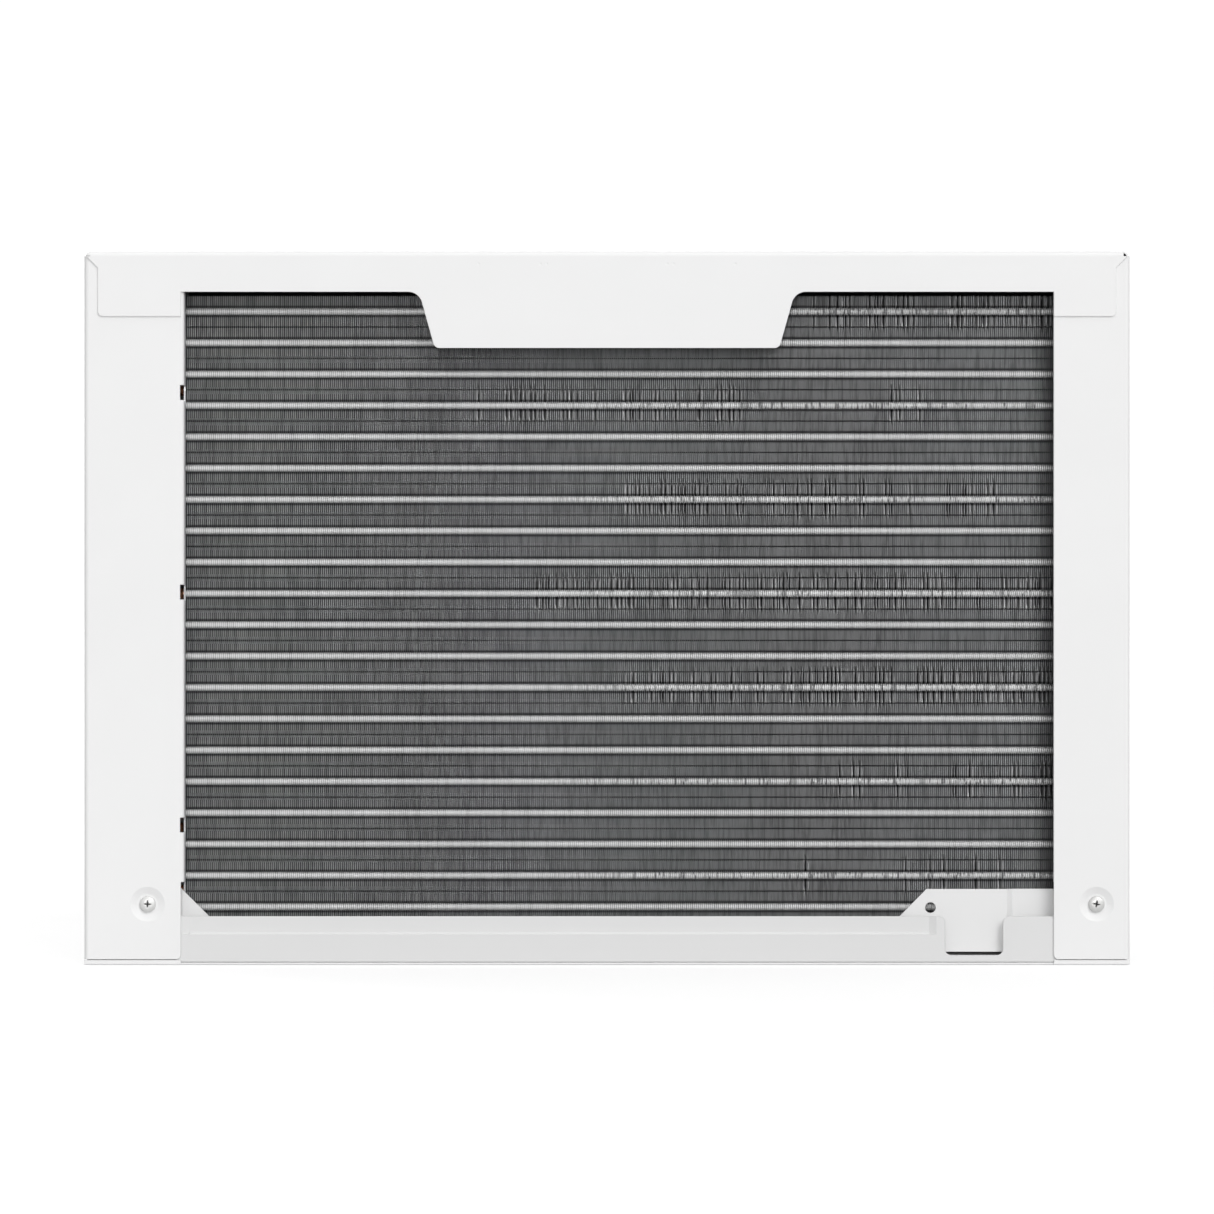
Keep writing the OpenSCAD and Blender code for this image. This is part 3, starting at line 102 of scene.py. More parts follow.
class Surface:
    """A Principled material that is built up one layer of detail at a time."""

    def __init__(self, name, colour, roughness, metallic=0.0):
        self.mat = bpy.data.materials.new(name)
        self.mat.use_nodes = True
        self.tree = self.mat.node_tree
        self.shader = self.tree.nodes["Principled BSDF"]
        self.shader.inputs["Base Color"].default_value = (*colour, 1)
        self.shader.inputs["Roughness"].default_value = roughness
        self.shader.inputs["Metallic"].default_value = metallic
        self.colour = colour
        self.roughness = roughness
        self.place = self.node("ShaderNodeTexCoord").outputs["Object"]
        self.tint = None
        self.normal = None

    def node(self, kind, **facts):
        made = self.tree.nodes.new(kind)
        for key, value in facts.items():
            setattr(made, key, value)
        return made

    def link(self, a, b):
        self.tree.links.new(a, b)

    def stretched(self, scale):
        """The object's coordinates, scaled apart along each axis."""
        mapping = self.node("ShaderNodeMapping")
        mapping.inputs["Scale"].default_value = scale
        self.link(self.place, mapping.inputs["Vector"])
        return mapping.outputs["Vector"]

    def noise(self, size, detail, scale=EVEN):
        """Noise with features of about that size in metres."""
        made = self.node("ShaderNodeTexNoise")
        made.inputs["Scale"].default_value = 1 / size
        made.inputs["Detail"].default_value = detail
        vector = self.place if scale == EVEN else self.stretched(scale)
        self.link(vector, made.inputs["Vector"])
        return made.outputs["Fac"]

    def cells(self, size, output="Color"):
        """Voronoi cells of about that size in metres."""
        made = self.node("ShaderNodeTexVoronoi")
        made.inputs["Scale"].default_value = 1 / size
        self.link(self.place, made.inputs["Vector"])
        return made.outputs[output]

    def spread(self, value, low, high, lo_in=0.3, hi_in=0.7):
        """value, mapped from lo_in..hi_in to low..high."""
        made = self.node("ShaderNodeMapRange")
        for name, number in (("From Min", lo_in), ("From Max", hi_in), ("To Min", low), ("To Max", high)):
            made.inputs[name].default_value = number
        self.link(value, made.inputs["Value"])
        return made.outputs["Result"]

    def mix(self, factor, other):
        """Lays another colour over what the base colour is so far."""
        made = self.node("ShaderNodeMix", data_type="RGBA")
        self.link(factor, made.inputs["Factor"])
        if self.tint is None:
            made.inputs[6].default_value = (*self.colour, 1)
        else:
            self.link(self.tint, made.inputs[6])
        made.inputs[7].default_value = (*other, 1)
        self.tint = made.outputs[2]
        self.link(self.tint, self.shader.inputs["Base Color"])
        return self

    def maths(self, operation, a, b=None):
        """One sum on a value, with a number or nothing as the second term."""
        made = self.node("ShaderNodeMath", operation=operation)
        self.link(a, made.inputs[0])
        if b is not None:
            made.inputs[1].default_value = b
        return made.outputs[0]

    def coordinate(self, name):
        """One of the object's coordinates, in metres."""
        split = self.node("ShaderNodeSeparateXYZ")
        self.link(self.place, split.inputs[0])
        return split.outputs[name]

    def from_row(self, first, gap):
        """Height above or below the nearest of the rows that stand gap apart, in metres."""
        turns = self.maths("MULTIPLY", self.maths("SUBTRACT", self.coordinate("Z"), first - gap / 2), 1 / gap)
        off = self.maths("ABSOLUTE", self.maths("SUBTRACT", self.maths("FRACT", turns), 0.5))
        return self.maths("MULTIPLY", off, gap)

    def product(self, a, b):
        """Two values, multiplied."""
        made = self.node("ShaderNodeMath", operation="MULTIPLY")
        self.link(a, made.inputs[0])
        self.link(b, made.inputs[1])
        return made.outputs[0]

    def band(self, distance, near, far, blur, colour, amount):
        """Another colour where the distance is between near and far."""
        rise = self.spread(distance, 0, amount, near - blur, near + blur)
        fall = self.spread(distance, 1, 0, far - blur, far + 2 * blur)
        return self.mix(self.product(rise, fall), colour)

    def mottle(self, size, amount, detail, scale=EVEN):
        """Slow changes of shade over the surface."""
        darker = tuple(c * (1 - amount) for c in self.colour)
        return self.mix(self.spread(self.noise(size, detail, scale), 0, 1), darker)

    def sheen_spots(self, size, amount, detail=2.0, scale=EVEN):
        """Roughness that changes over the surface."""
        value = self.noise(size, detail, scale)
        low, high = max(0.03, self.roughness - amount), min(1.0, self.roughness + amount)
        self.link(self.spread(value, low, high), self.shader.inputs["Roughness"])
        return self

    def bump(self, height, depth, strength):
        """Relief of that depth in metres."""
        made = self.node("ShaderNodeBump")
        made.inputs["Strength"].default_value = strength
        made.inputs["Distance"].default_value = depth
        self.link(height, made.inputs["Height"])
        if self.normal is not None:
            self.link(self.normal, made.inputs["Normal"])
        self.normal = made.outputs["Normal"]
        self.link(self.normal, self.shader.inputs["Normal"])
        return self

    def soft_edges(self, radius):
        """Rounds the edges in the light, as paint and moulding do."""
        made = self.node("ShaderNodeBevel", samples=4)
        made.inputs["Radius"].default_value = radius
        self.normal = made.outputs["Normal"]
        self.link(self.normal, self.shader.inputs["Normal"])
        return self


def powder_coat(name, colour, roughness=0.50):
    """Sprayed and baked paint on sheet metal, with a little orange peel."""
    s = Surface(name, colour, roughness)
    s.shader.inputs["Specular IOR Level"].default_value = 0.22
    s.soft_edges(0.7 * MM)
    s.mottle(0.16, 0.018, 4)
    s.sheen_spots(0.03, 0.05)
    s.bump(s.noise(2.2 * MM, 2), 0.02 * MM, 0.35)
    s.bump(s.noise(0.5 * MM, 1), 0.004 * MM, 0.3)
    return s.mat


def zinc_sheet(name, colour=(0.56, 0.57, 0.58)):
    """Galvanised sheet with its crystal pattern."""
    s = Surface(name, colour, 0.40, 0.85)
    s.soft_edges(0.4 * MM)
    s.mottle(0.05, 0.18, 5)
    crystals = s.cells(9 * MM)
    dark = tuple(c * 0.72 for c in colour)
    s.mix(s.spread(crystals, 0, 0.7, 0.1, 0.9), dark)
    s.link(s.spread(s.cells(9 * MM), 0.28, 0.52, 0, 1), s.shader.inputs["Roughness"])
    s.bump(s.noise(0.8 * MM, 2, (1, 8, 1)), 0.004 * MM, 0.4)
    return s.mat


def drawn_metal(name, colour, roughness, grain, metallic=1.0):
    """Bare metal with fine lines along one axis."""
    s = Surface(name, colour, roughness, metallic)
    s.mottle(0.03, 0.15, 4)
    s.sheen_spots(0.006, 0.08, 3, grain)
    s.bump(s.noise(1.5 * MM, 2, grain), 0.003 * MM, 0.4)
    return s.mat


def copper(name):
    """Copper tube that has dulled unevenly, with heat marks."""
    s = Surface(name, (0.76, 0.40, 0.25), 0.30, 1.0)
    s.mottle(0.02, 0.25, 5)
    s.mix(s.spread(s.noise(0.07, 4), 0, 0.7, 0.55, 0.75), (0.36, 0.17, 0.10))
    s.sheen_spots(0.01, 0.12, 4)
    s.bump(s.noise(0.9 * MM, 2), 0.006 * MM, 0.4)
    return s.mat


def moulded(name, colour, roughness, grain=0.7 * MM):
    """Injection-moulded plastic with a spark-eroded texture."""
    s = Surface(name, colour, roughness)
    s.soft_edges(0.5 * MM)
    s.mottle(0.12, 0.02, 3)
    s.sheen_spots(0.02, 0.04)
    s.bump(s.noise(grain, 2), 0.015 * MM, 0.45)
    return s.mat


def gloss_black(name):
    """Smoked window with a clear, hard face."""
    s = Surface(name, (0.008, 0.009, 0.011), 0.08)
    s.soft_edges(0.4 * MM)
    s.shader.inputs["Coat Weight"].default_value = 0.6
    s.sheen_spots(0.04, 0.03)
    s.bump(s.noise(0.03, 1), 0.02 * MM, 0.2)
    return s.mat


def enamel(name):
    """Black stove enamel over a welded steel shell."""
    s = Surface(name, (0.012, 0.012, 0.013), 0.30)
    s.soft_edges(1.0 * MM)
    s.mix(s.spread(s.noise(0.05, 5), 0, 0.5, 0.55, 0.8), (0.035, 0.033, 0.03))
    s.sheen_spots(0.015, 0.12, 4)
    s.bump(s.noise(3 * MM, 3), 0.05 * MM, 0.4)
    return s.mat


def rubber(name):
    """Dull moulded rubber."""
    s = Surface(name, (0.018, 0.018, 0.018), 0.78)
    s.mottle(0.01, 0.3, 3)
    s.sheen_spots(0.008, 0.08)
    s.bump(s.noise(1.0 * MM, 3), 0.03 * MM, 0.6)
    return s.mat


def foam(name):
    """Closed-cell insulation."""
    s = Surface(name, (0.03, 0.03, 0.032), 0.9)
    s.mottle(0.02, 0.3, 4)
    s.bump(s.cells(1.6 * MM, "Distance"), 0.25 * MM, 0.7)
    s.bump(s.noise(8 * MM, 3), 0.5 * MM, 0.5)
    return s.mat


def board(name):
    """Circuit board: solder mask over tracks."""
    s = Surface(name, (0.015, 0.12, 0.045), 0.32)
    s.soft_edges(0.3 * MM)
    brick = s.node("ShaderNodeTexBrick", offset=0.5)
    brick.inputs["Scale"].default_value = 1 / (9 * MM)
    brick.inputs["Mortar Size"].default_value = 0.05
    brick.inputs["Brick Width"].default_value = 1.3
    brick.inputs["Row Height"].default_value = 0.42
    s.link(s.stretched((1, 0.01, 1)), brick.inputs["Vector"])
    s.mix(s.spread(brick.outputs["Fac"], 0, 0.8, 0.0, 1.0), (0.03, 0.22, 0.08))
    s.bump(brick.outputs["Fac"], 0.05 * MM, 0.6)
    s.sheen_spots(0.01, 0.06)
    return s.mat


def fin_metal(name, colour, first=None, gap=None):
    """Thin aluminium strip, dulled by a protective film. With rows given, shade is painted into it: in the
    grooves beside the tubes, along the slits, in darker columns and at the shaded -X end.
    """
    s = Surface(name, colour, 0.5, 0.45)
    s.mottle(0.05, 0.10, 4, (1, 1, 0.25))
    if gap:
        # painted shade: fins stand a little unevenly, so some columns between them are darker
        s.mix(s.spread(s.noise(1.5 * MM, 2, (1, 0.02, 0.07)), 0, 0.55, 0.44, 0.66), (0.15, 0.15, 0.152))
        # painted shadow of the side panel over the coil's -X end
        s.mix(s.spread(s.coordinate("X"), 0.9, 0, COIL_END, COIL_END + 14 * MM), (0.05, 0.05, 0.052))
        away = s.from_row(first, gap)
        # painted shade in the grooves beside each tube's sleeve
        s.band(away, 2.3 * MM, 3.5 * MM, 0.35 * MM, (0.035, 0.035, 0.037), 0.92)
        # painted shade along the slit halfway between two tubes
        s.band(away, gap / 2 - 0.45 * MM, gap, 0.15 * MM, (0.07, 0.07, 0.072), 0.75)
    s.sheen_spots(0.02, 0.06, 3)
    s.bump(s.noise(1.2 * MM, 2), 0.008 * MM, 0.3)
    return s.mat


def bright_sleeve(name):
    """Fin collars that close up into a bright sleeve round a tube."""
    s = Surface(name, (0.76, 0.76, 0.755), 0.5, 0.3)
    s.mottle(0.08, 0.06, 3)
    # painted shade of fins that were pressed over the tube, in every third row and more of them on the -X
    # side
    ticks = s.spread(s.noise(1.0 * MM, 2, (1, 0.02, 0.12)), 0, 1, 0.545, 0.60)
    pressed = s.spread(s.from_row(ROW_0 + ROW_GAP, 3 * ROW_GAP), 1, 0, 4 * MM, 6 * MM)
    across = s.coordinate("X")
    side = s.spread(across, 0.9, 0.0, -0.04, 0.06)
    # painted shadow of the side panel over the sleeves at the coil's -X end
    s.mix(s.spread(across, 0.7, 0, COIL_END, COIL_END + 9 * MM), (0.10, 0.10, 0.102))
    where = s.product(pressed, side)
    s.mix(s.product(ticks, where), (0.05, 0.05, 0.052))
    # and painted shade in short runs where they hide it
    runs = s.spread(s.noise(11 * MM, 1, (1, 0.02, 0.06)), 0, 0.8, 0.66, 0.69)
    s.mix(s.product(runs, where), (0.22, 0.22, 0.222))
    s.sheen_spots(0.03, 0.05)
    s.bump(s.noise(1.27 * MM, 1, (1, 0.05, 0.05)), 0.01 * MM, 0.5)
    return s.mat


def plain_wire(name, colour):
    """Insulation of a wire."""
    s = Surface(name, colour, 0.38)
    s.mottle(0.01, 0.12, 3)
    s.sheen_spots(0.01, 0.06)
    s.bump(s.noise(0.8 * MM, 2), 0.01 * MM, 0.3)
    return s.mat


M = {
    "cabinet_paint": powder_coat("cabinet paint", (0.815, 0.815, 0.815)),
    "pan_paint": powder_coat("pan paint", (0.70, 0.70, 0.70), 0.52),
    # lighter copy of the pan's paint: painted light on the corner plates, which sit in shade behind the pan's
    # wall
    "plate_paint_lightened": powder_coat("corner plate paint", (0.765, 0.765, 0.765), 0.52),
    "galvanised": zinc_sheet("galvanised sheet"),
    "fin_aluminium": fin_metal("fin aluminium", (0.46, 0.465, 0.47)),
    "coil_fin": fin_metal("coil fin", (0.52, 0.525, 0.53), ROW_0, ROW_GAP),
    "tube_sleeve": bright_sleeve("tube sleeve"),
    "tube_copper": copper("copper tube"),
    "zinc_screw": drawn_metal("zinc wire", (0.66, 0.66, 0.65), 0.32, EVEN),
    "screw_zinc": drawn_metal("zinc screw", (0.72, 0.72, 0.71), 0.45, EVEN, 0.35),
    # dark copy of the zinc that paints the shade in the screws' cross recesses
    "screw_recess_shade": drawn_metal("screw recess shade", (0.035, 0.035, 0.036), 0.6, EVEN, 0.3),
    "black_plastic": moulded("black plastic", (0.018, 0.018, 0.02), 0.55),
    "blower_plastic": moulded("white nylon", (0.66, 0.66, 0.63), 0.48),
    "shaft_steel": drawn_metal("ground steel", (0.52, 0.52, 0.53), 0.24, (1, 40, 1)),
    "motor_shell": zinc_sheet("motor shell", (0.46, 0.47, 0.48)),
    "black_paint": enamel("black enamel"),
    "mount_rubber": rubber("black rubber"),
    "duct_plastic": moulded("duct plastic", (0.60, 0.61, 0.60), 0.6, 1.2 * MM),
    "front_plastic": moulded("front plastic", (0.69, 0.695, 0.68), 0.46),
    "filter_plastic": moulded("filter plastic", (0.055, 0.058, 0.062), 0.55),
    "display_plastic": gloss_black("smoked window"),
    "button_plastic": moulded("button plastic", (0.40, 0.41, 0.42), 0.38, 0.5 * MM),
    "board_green": board("circuit board"),
    "can_aluminium": drawn_metal("drawn can", (0.66, 0.67, 0.68), 0.30, EVEN),
    "foam": foam("black foam"),
    "label": moulded("blank label", (0.78, 0.77, 0.72), 0.35, 3 * MM),
    "wire_red": plain_wire("red wire", (0.42, 0.015, 0.012)),
    "wire_white": plain_wire("white wire", (0.68, 0.68, 0.66)),
    "wire_black": plain_wire("black wire", (0.012, 0.012, 0.012)),
    "wire_yellow": plain_wire("yellow wire", (0.62, 0.42, 0.02)),
    "solder": drawn_metal("brazed joint", (0.62, 0.55, 0.42), 0.45, EVEN, 0.9),
}


# ---------------------------------------------------------------- meshes


def body_of(node):
    """The CAD body that a node belongs to."""
    return NODES[node]["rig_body"]


def finish_mesh(obj, angle=35):
    """Smooth shading that keeps the edges sharper than this angle."""
    obj.data.shade_smooth()
    obj.data.set_sharp_from_angle(angle=math.radians(angle))
    return obj


def add_piece(name, mesh, body, *mats):
    """Puts a mesh with these materials into the scene, on a body of the CAD model."""
    for mat in mats:
        mesh.materials.append(M[mat])
    obj = bpy.data.objects.new(name, mesh)
    bpy.context.scene.collection.objects.link(obj)
    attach(obj, body)
    return obj


def from_bmesh(name, bm, mat, body):
    """The piece that a bmesh makes, with its normals outward."""
    mesh = bpy.data.meshes.new(name)
    bmesh.ops.recalc_face_normals(bm, faces=bm.faces)
    bm.to_mesh(mesh)
    bm.free()
    return finish_mesh(add_piece(name, mesh, body, mat))


def block(bm, lo, hi, r):
    """Box from corner to corner with rounded edges, or sharp ones if r is 0."""
    part = bmesh.new()
    bmesh.ops.create_cube(part, size=1)
    lo, hi = Vector(lo), Vector(hi)
    size, centre = hi - lo, (hi + lo) / 2
    for v in part.verts:
        v.co = Vector((v.co.x * size.x, v.co.y * size.y, v.co.z * size.z)) + centre
    if r > 0:
        bmesh.ops.bevel(part, geom=part.edges[:], offset=r, segments=2, affect="EDGES", profile=0.5)
    mesh = bpy.data.meshes.new("part")
    part.to_mesh(mesh)
    part.free()
    bm.from_mesh(mesh)
    bpy.data.meshes.remove(mesh)


def rounded_path(points, r, steps):
    """The path with each corner turned into a short curve."""
    pts = [Vector(p) for p in points]
    out = [pts[0]]
    for before, corner, after in zip(pts, pts[1:], pts[2:]):
        a, b = before - corner, after - corner
        s = min(r, a.length / 2.2, b.length / 2.2)
        u, v = corner + a.normalized() * s, corner + b.normalized() * s
        for i in range(steps + 1):
            t = i / steps
            out.append((1 - t) ** 2 * u + 2 * t * (1 - t) * corner + t * t * v)
    out.append(pts[-1])
    return out


def circle(sides):
    """Cosine and sine at equal steps all the way round."""
    angles = [2 * math.pi * k / sides for k in range(sides)]
    return [(math.cos(a), math.sin(a)) for a in angles]


def sweep(bm, path, r, sides):
    """Round rod along a path."""
    up = None
    rings = []
    for i, p in enumerate(path):
        h = (path[min(i + 1, len(path) - 1)] - path[max(i - 1, 0)]).normalized()
        if up is None:
            up = Z if abs(h.z) < 0.8 else X
        up = (up - up.dot(h) * h).normalized()
        side = h.cross(up)
        rings.append([bm.verts.new(p + r * (c * up + d * side)) for c, d in circle(sides)])
    for a, b in zip(rings, rings[1:]):
        for k in range(sides):
            n = (k + 1) % sides
            bm.faces.new((a[k], a[n], b[n], b[k]))
    bm.faces.new(rings[0][::-1])
    bm.faces.new(rings[-1])


def turned(bm, origin, axis, profile, sides):
    """Solid of revolution. profile is (distance along the axis, radius) from one end to the other."""
    o, a = Vector(origin), Vector(axis).normalized()
    u = a.orthogonal().normalized()
    v = a.cross(u)
    rings = []
    for along, r in profile:
        rings.append([bm.verts.new(o + along * a + r * (c * u + d * v)) for c, d in circle(sides)])
    for p, q in zip(rings, rings[1:]):
        for k in range(sides):
            n = (k + 1) % sides
            bm.faces.new((p[k], p[n], q[n], q[k]))
    bm.faces.new(rings[0][::-1])
    bm.faces.new(rings[-1])


def turned_mm(bm, origin, axis, profile, sides):
    """The same, with the origin and the profile in millimetres."""
    turned(bm, Vector(origin) * MM, axis, [(along * MM, r * MM) for along, r in profile], sides)


def arc_points(centre, u, v, r, a0, a1, steps):
    """Points on an arc in the plane of u and v."""
    angles = [a0 + (a1 - a0) * i / steps for i in range(steps + 1)]
    return [centre + r * (math.cos(a) * u + math.sin(a) * v) for a in angles]


def mm(points):
    """Points that are given in millimetres."""
    return [Vector(p) * MM for p in points]


# ---------------------------------------------------------------- fin packs


def grid_mesh(name, verts, faces, mat, body):
    """Mesh from arrays, for pieces with very many faces."""
    mesh = bpy.data.meshes.new(name)
    mesh.vertices.add(len(verts))
    mesh.vertices.foreach_set("co", verts.astype(np.float32).ravel())
    mesh.loops.add(faces.size)
    mesh.loops.foreach_set("vertex_index", faces.astype(np.int32).ravel())
    mesh.polygons.add(len(faces))
    mesh.polygons.foreach_set("loop_start", np.arange(0, faces.size, 4, dtype=np.int32))
    mesh.update(calc_edges=True)
    mesh.shade_flat()
    return add_piece(name, mesh, body, mat)


def strip_faces(nz, ny, flip):
    """Quads of one closed strip with nz by ny nodes on each of its two sides."""

    def at(side, z, y):
        return (side * nz + z) * ny + y

    quads = []
    for z in range(nz - 1):
        for y in range(ny - 1):
            quads.append((at(0, z, y), at(0, z + 1, y), at(0, z + 1, y + 1), at(0, z, y + 1)))
            quads.append((at(1, z, y), at(1, z, y + 1), at(1, z + 1, y + 1), at(1, z + 1, y)))
        quads.append((at(0, z, 0), at(1, z, 0), at(1, z + 1, 0), at(0, z + 1, 0)))
        quads.append((at(0, z, ny - 1), at(0, z + 1, ny - 1), at(1, z + 1, ny - 1), at(1, z, ny - 1)))
    for y in range(ny - 1):
        quads.append((at(0, 0, y), at(0, 0, y + 1), at(1, 0, y + 1), at(1, 0, y)))
        quads.append((at(0, nz - 1, y), at(1, nz - 1, y), at(1, nz - 1, y + 1), at(0, nz - 1, y + 1)))
    quads = np.array(quads)
    return quads[:, ::-1] if flip else quads


# How far a bent fin stands aside near a tube, by the height above or below the tube's centre
BEND_AT = [0.0, 2.0 * MM, 3.0 * MM, 6.5 * MM, 13.5 * MM]
BEND_BY = [0.04, 0.10, 0.85, 0.95, 0.0]
# Bent fins come in pairs: one stands out with its side to the light, and the next is pressed in behind it
STAND_OUT = 0.75 * MM
PRESSED_ASIDE = 0.40 * MM
PRESSED_IN = 3.2 * MM
MOSTLY_ONE_WAY = 0.8
# How unevenly the fins stand, each as a whole and along its height
LOOSE = 0.025 * MM
WAVY = 0.03 * MM
# The slit in each fin halfway between two tubes
SLIT_HALF = 0.45 * MM
SLIT_DEPTH = 2.2 * MM
# A strip runs in a wave from the face of the pack to its back: where it turns, how far aside it
# stands there as a share of the pitch, and how much of a bend reaches that far
WAVE_AT = [0.0, 2.6 * MM, 5.4 * MM]
WAVE_LEAN = [0.0, 0.50, 0.0, 1.0]
BEND_REACH = np.array([1.0, 0.30, 0.15, 0.0])


def fin_levels(lo, hi, rows, bent):
    """Heights at which a strip has nodes, and how deep its edge is cut at each."""
    gap = rows[1] - rows[0]
    nodes = {lo: 0.0, hi: 0.0}
    for k, z in enumerate(rows):
        middle = z - gap / 2
        nodes.update({middle - SLIT_HALF: 0.0, middle: SLIT_DEPTH, middle + SLIT_HALF: 0.0})
        if k in bent:
            for off in BEND_AT:
                nodes.update({z - off: 0.0, z + off: 0.0})
    levels = sorted(z for z in nodes if lo <= z <= hi)
    return np.array(levels), np.array([nodes[z] for z in levels])


def bend_fins(rng, inside, share, here, amount, shift, sunk):
    """Bends a share of the fins numbered in inside, at the levels here, by amount at each level."""
    i = 0
    while i < len(inside):
        if rng.random() >= share:
            i += 1
            continue
        size = rng.uniform(0.6, 1.1)
        toward = 1 if rng.random() < MOSTLY_ONE_WAY else -1
        pair = ((-STAND_OUT * toward, 0.0), (PRESSED_ASIDE, PRESSED_IN))
        for fin, (push, press) in zip(inside[i:i + 2], pair):
            shift[fin, here, :] += (size * push * amount)[:, None] * BEND_REACH[None, :]
            sunk[fin, here] = press * min(size, 1.0) * np.minimum(amount * 1.6, 1)
        i += 2


def fin_pack(name, node, mat, pitch, thick, rows, bent, seed, pieces, rear=True):
    """Real fins in place of the folded sheet: thin closed strips with a slit halfway between the
    tubes, some of them bent where the pack was handled."""
    lo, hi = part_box(node)
    rng = np.random.default_rng(seed)
    count = int((hi.x - lo.x) / pitch)
    xs = lo.x + (np.arange(count) + 0.5) * (hi.x - lo.x) / count
    zs, cut = fin_levels(lo.z, hi.z, rows, bent)
    face, inward = (hi.y, -1) if rear else (lo.y, 1)
    ys = face + inward * np.array([*WAVE_AT, hi.y - lo.y])
    nz, ny = len(zs), len(ys)
    # shift[fin, z, y] is how far a strip stands aside, and sunk[fin, z] how far its edge is pressed in
    shift = np.zeros((count, nz, ny)) + np.array(WAVE_LEAN) * pitch
    shift += rng.normal(0, LOOSE, (count, 1, 1))
    shift += rng.normal(0, WAVY, (count, nz, 1)) * BEND_REACH
    sunk = np.zeros((count, nz))
    for row, places in bent.items():
        away = np.abs(zs - rows[row])
        here = np.where(away < BEND_AT[-1])[0]
        amount = np.interp(away[here], BEND_AT, BEND_BY)
        for x_from, x_to, share in places:
            inside = np.where((xs >= min(x_from, x_to)) & (xs <= max(x_from, x_to)))[0]
            bend_fins(rng, inside, share, here, amount, shift, sunk)
    half = thick / 2
    nodes = np.zeros((count, 2, nz, ny, 3))
    for side, sign in enumerate((-1, 1)):
        nodes[:, side, :, :, 0] = np.clip(xs[:, None, None] + shift, lo.x + half, hi.x - half) + sign * half
        nodes[:, side, :, :, 1] = ys
        nodes[:, side, :, :, 2] = zs[:, None]
    nodes[:, :, :, 0, 1] += inward * (cut + sunk)[:, None, :]
    quads = strip_faces(nz, ny, not rear)
    first_node = np.arange(count) * 2 * nz * ny
    made = []
    for piece, chosen in enumerate(np.array_split(np.arange(count), pieces)):
        faces = quads + first_node[:len(chosen), None, None]
        made.append(grid_mesh(f"{name}_{piece + 1}", nodes[chosen].reshape(-1, 3), faces.reshape(-1, 4),
                              mat, body_of(node)))
    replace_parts(made[0], node)


def bowed(part, power):
    """A sine or cosine raised to a power, with its sign kept."""
    return math.copysign(abs(part) ** power, part)


def sleeve_section(half_y, half_z):
    """Outline of a tube's sleeve as (y, z), rounder above than below."""
    return [(bowed(c, 0.72 if d > 0 else 0.45) * half_y, bowed(d, 0.8) * half_z) for c, d in circle(28)]


# How far a coil's tubes stand out of the end plates before they bend, and as a closed stub
TUBE_OUT = 2.2 * MM
STUB_OUT = 3.2 * MM


def coil_tubes(name, node, rows, gap, r, x0, x1):
    """Tubes with bright sleeves inside the fins and copper bends outside the end plates. Each row of
    tubes is given as (sleeve's centre Y, bends' centre Y, first Z, number of tubes)."""
    sleeves, bends = bmesh.new(), bmesh.new()
    section = sleeve_section(3.0 * MM, 2.2 * MM)
    flare = [(0, r), (0.3 * MM, r * 1.16), (1.6 * MM, r * 1.16), (2.2 * MM, r)]
    for sleeve_y, y, z_first, count in rows:
        for k in range(count):
            z = z_first + k * gap
            ends = [[sleeves.verts.new((x, sleeve_y + a, z + b)) for a, b in section] for x in (x0, x1)]
            for i in range(len(section)):
                n = (i + 1) % len(section)
                sleeves.faces.new((ends[0][i], ends[0][n], ends[1][n], ends[1][i]))
            sleeves.faces.new(ends[0])
            sleeves.faces.new(ends[1])
        for k in range(count - 1):
            side = -1 if k % 2 == 0 else 1
            x_end = x0 - TUBE_OUT if side < 0 else x1 + TUBE_OUT
            x_in = x0 + 0.2 * MM if side < 0 else x1 - 0.2 * MM
            z = z_first + k * gap
            mid = Vector((x_end, y, z + gap / 2))
            loop = arc_points(mid, -Z, side * X, gap / 2, 0, math.pi, 14)
            path = [Vector((x_in, y, z))] + loop + [Vector((x_in, y, z + gap))]
            sweep(bends, path, r, 16)
            for z_collar in (z, z + gap):
                turned(bends, (x_end - side * 1.6 * MM, y, z_collar), side * X, flare, 16)
        last = z_first + (count - 1) * gap
        ends = [(x1, x1 + STUB_OUT, z_first)]
        ends.append((x1, x1 + STUB_OUT, last) if count % 2 == 0 else (x0, x0 - STUB_OUT, last))
        for x_from, x_to, z in ends:
            sweep(bends, [Vector((x_from, y, z)), Vector((x_to, y, z))], r * 1.1, 16)
    sleeve_piece = from_bmesh(name + "_sleeves", sleeves, "tube_sleeve", body_of(node))
    from_bmesh(name + "_bends", bends, "tube_copper", body_of(node))
    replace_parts(sleeve_piece, node)


COIL_LO, COIL_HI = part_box("condenser_fins")
# How far the tubes' ends run past the fins, to the end plates
PAST_FINS = 0.4 * MM
row_z = [ROW_0 + k * ROW_GAP for k in range(ROWS)]
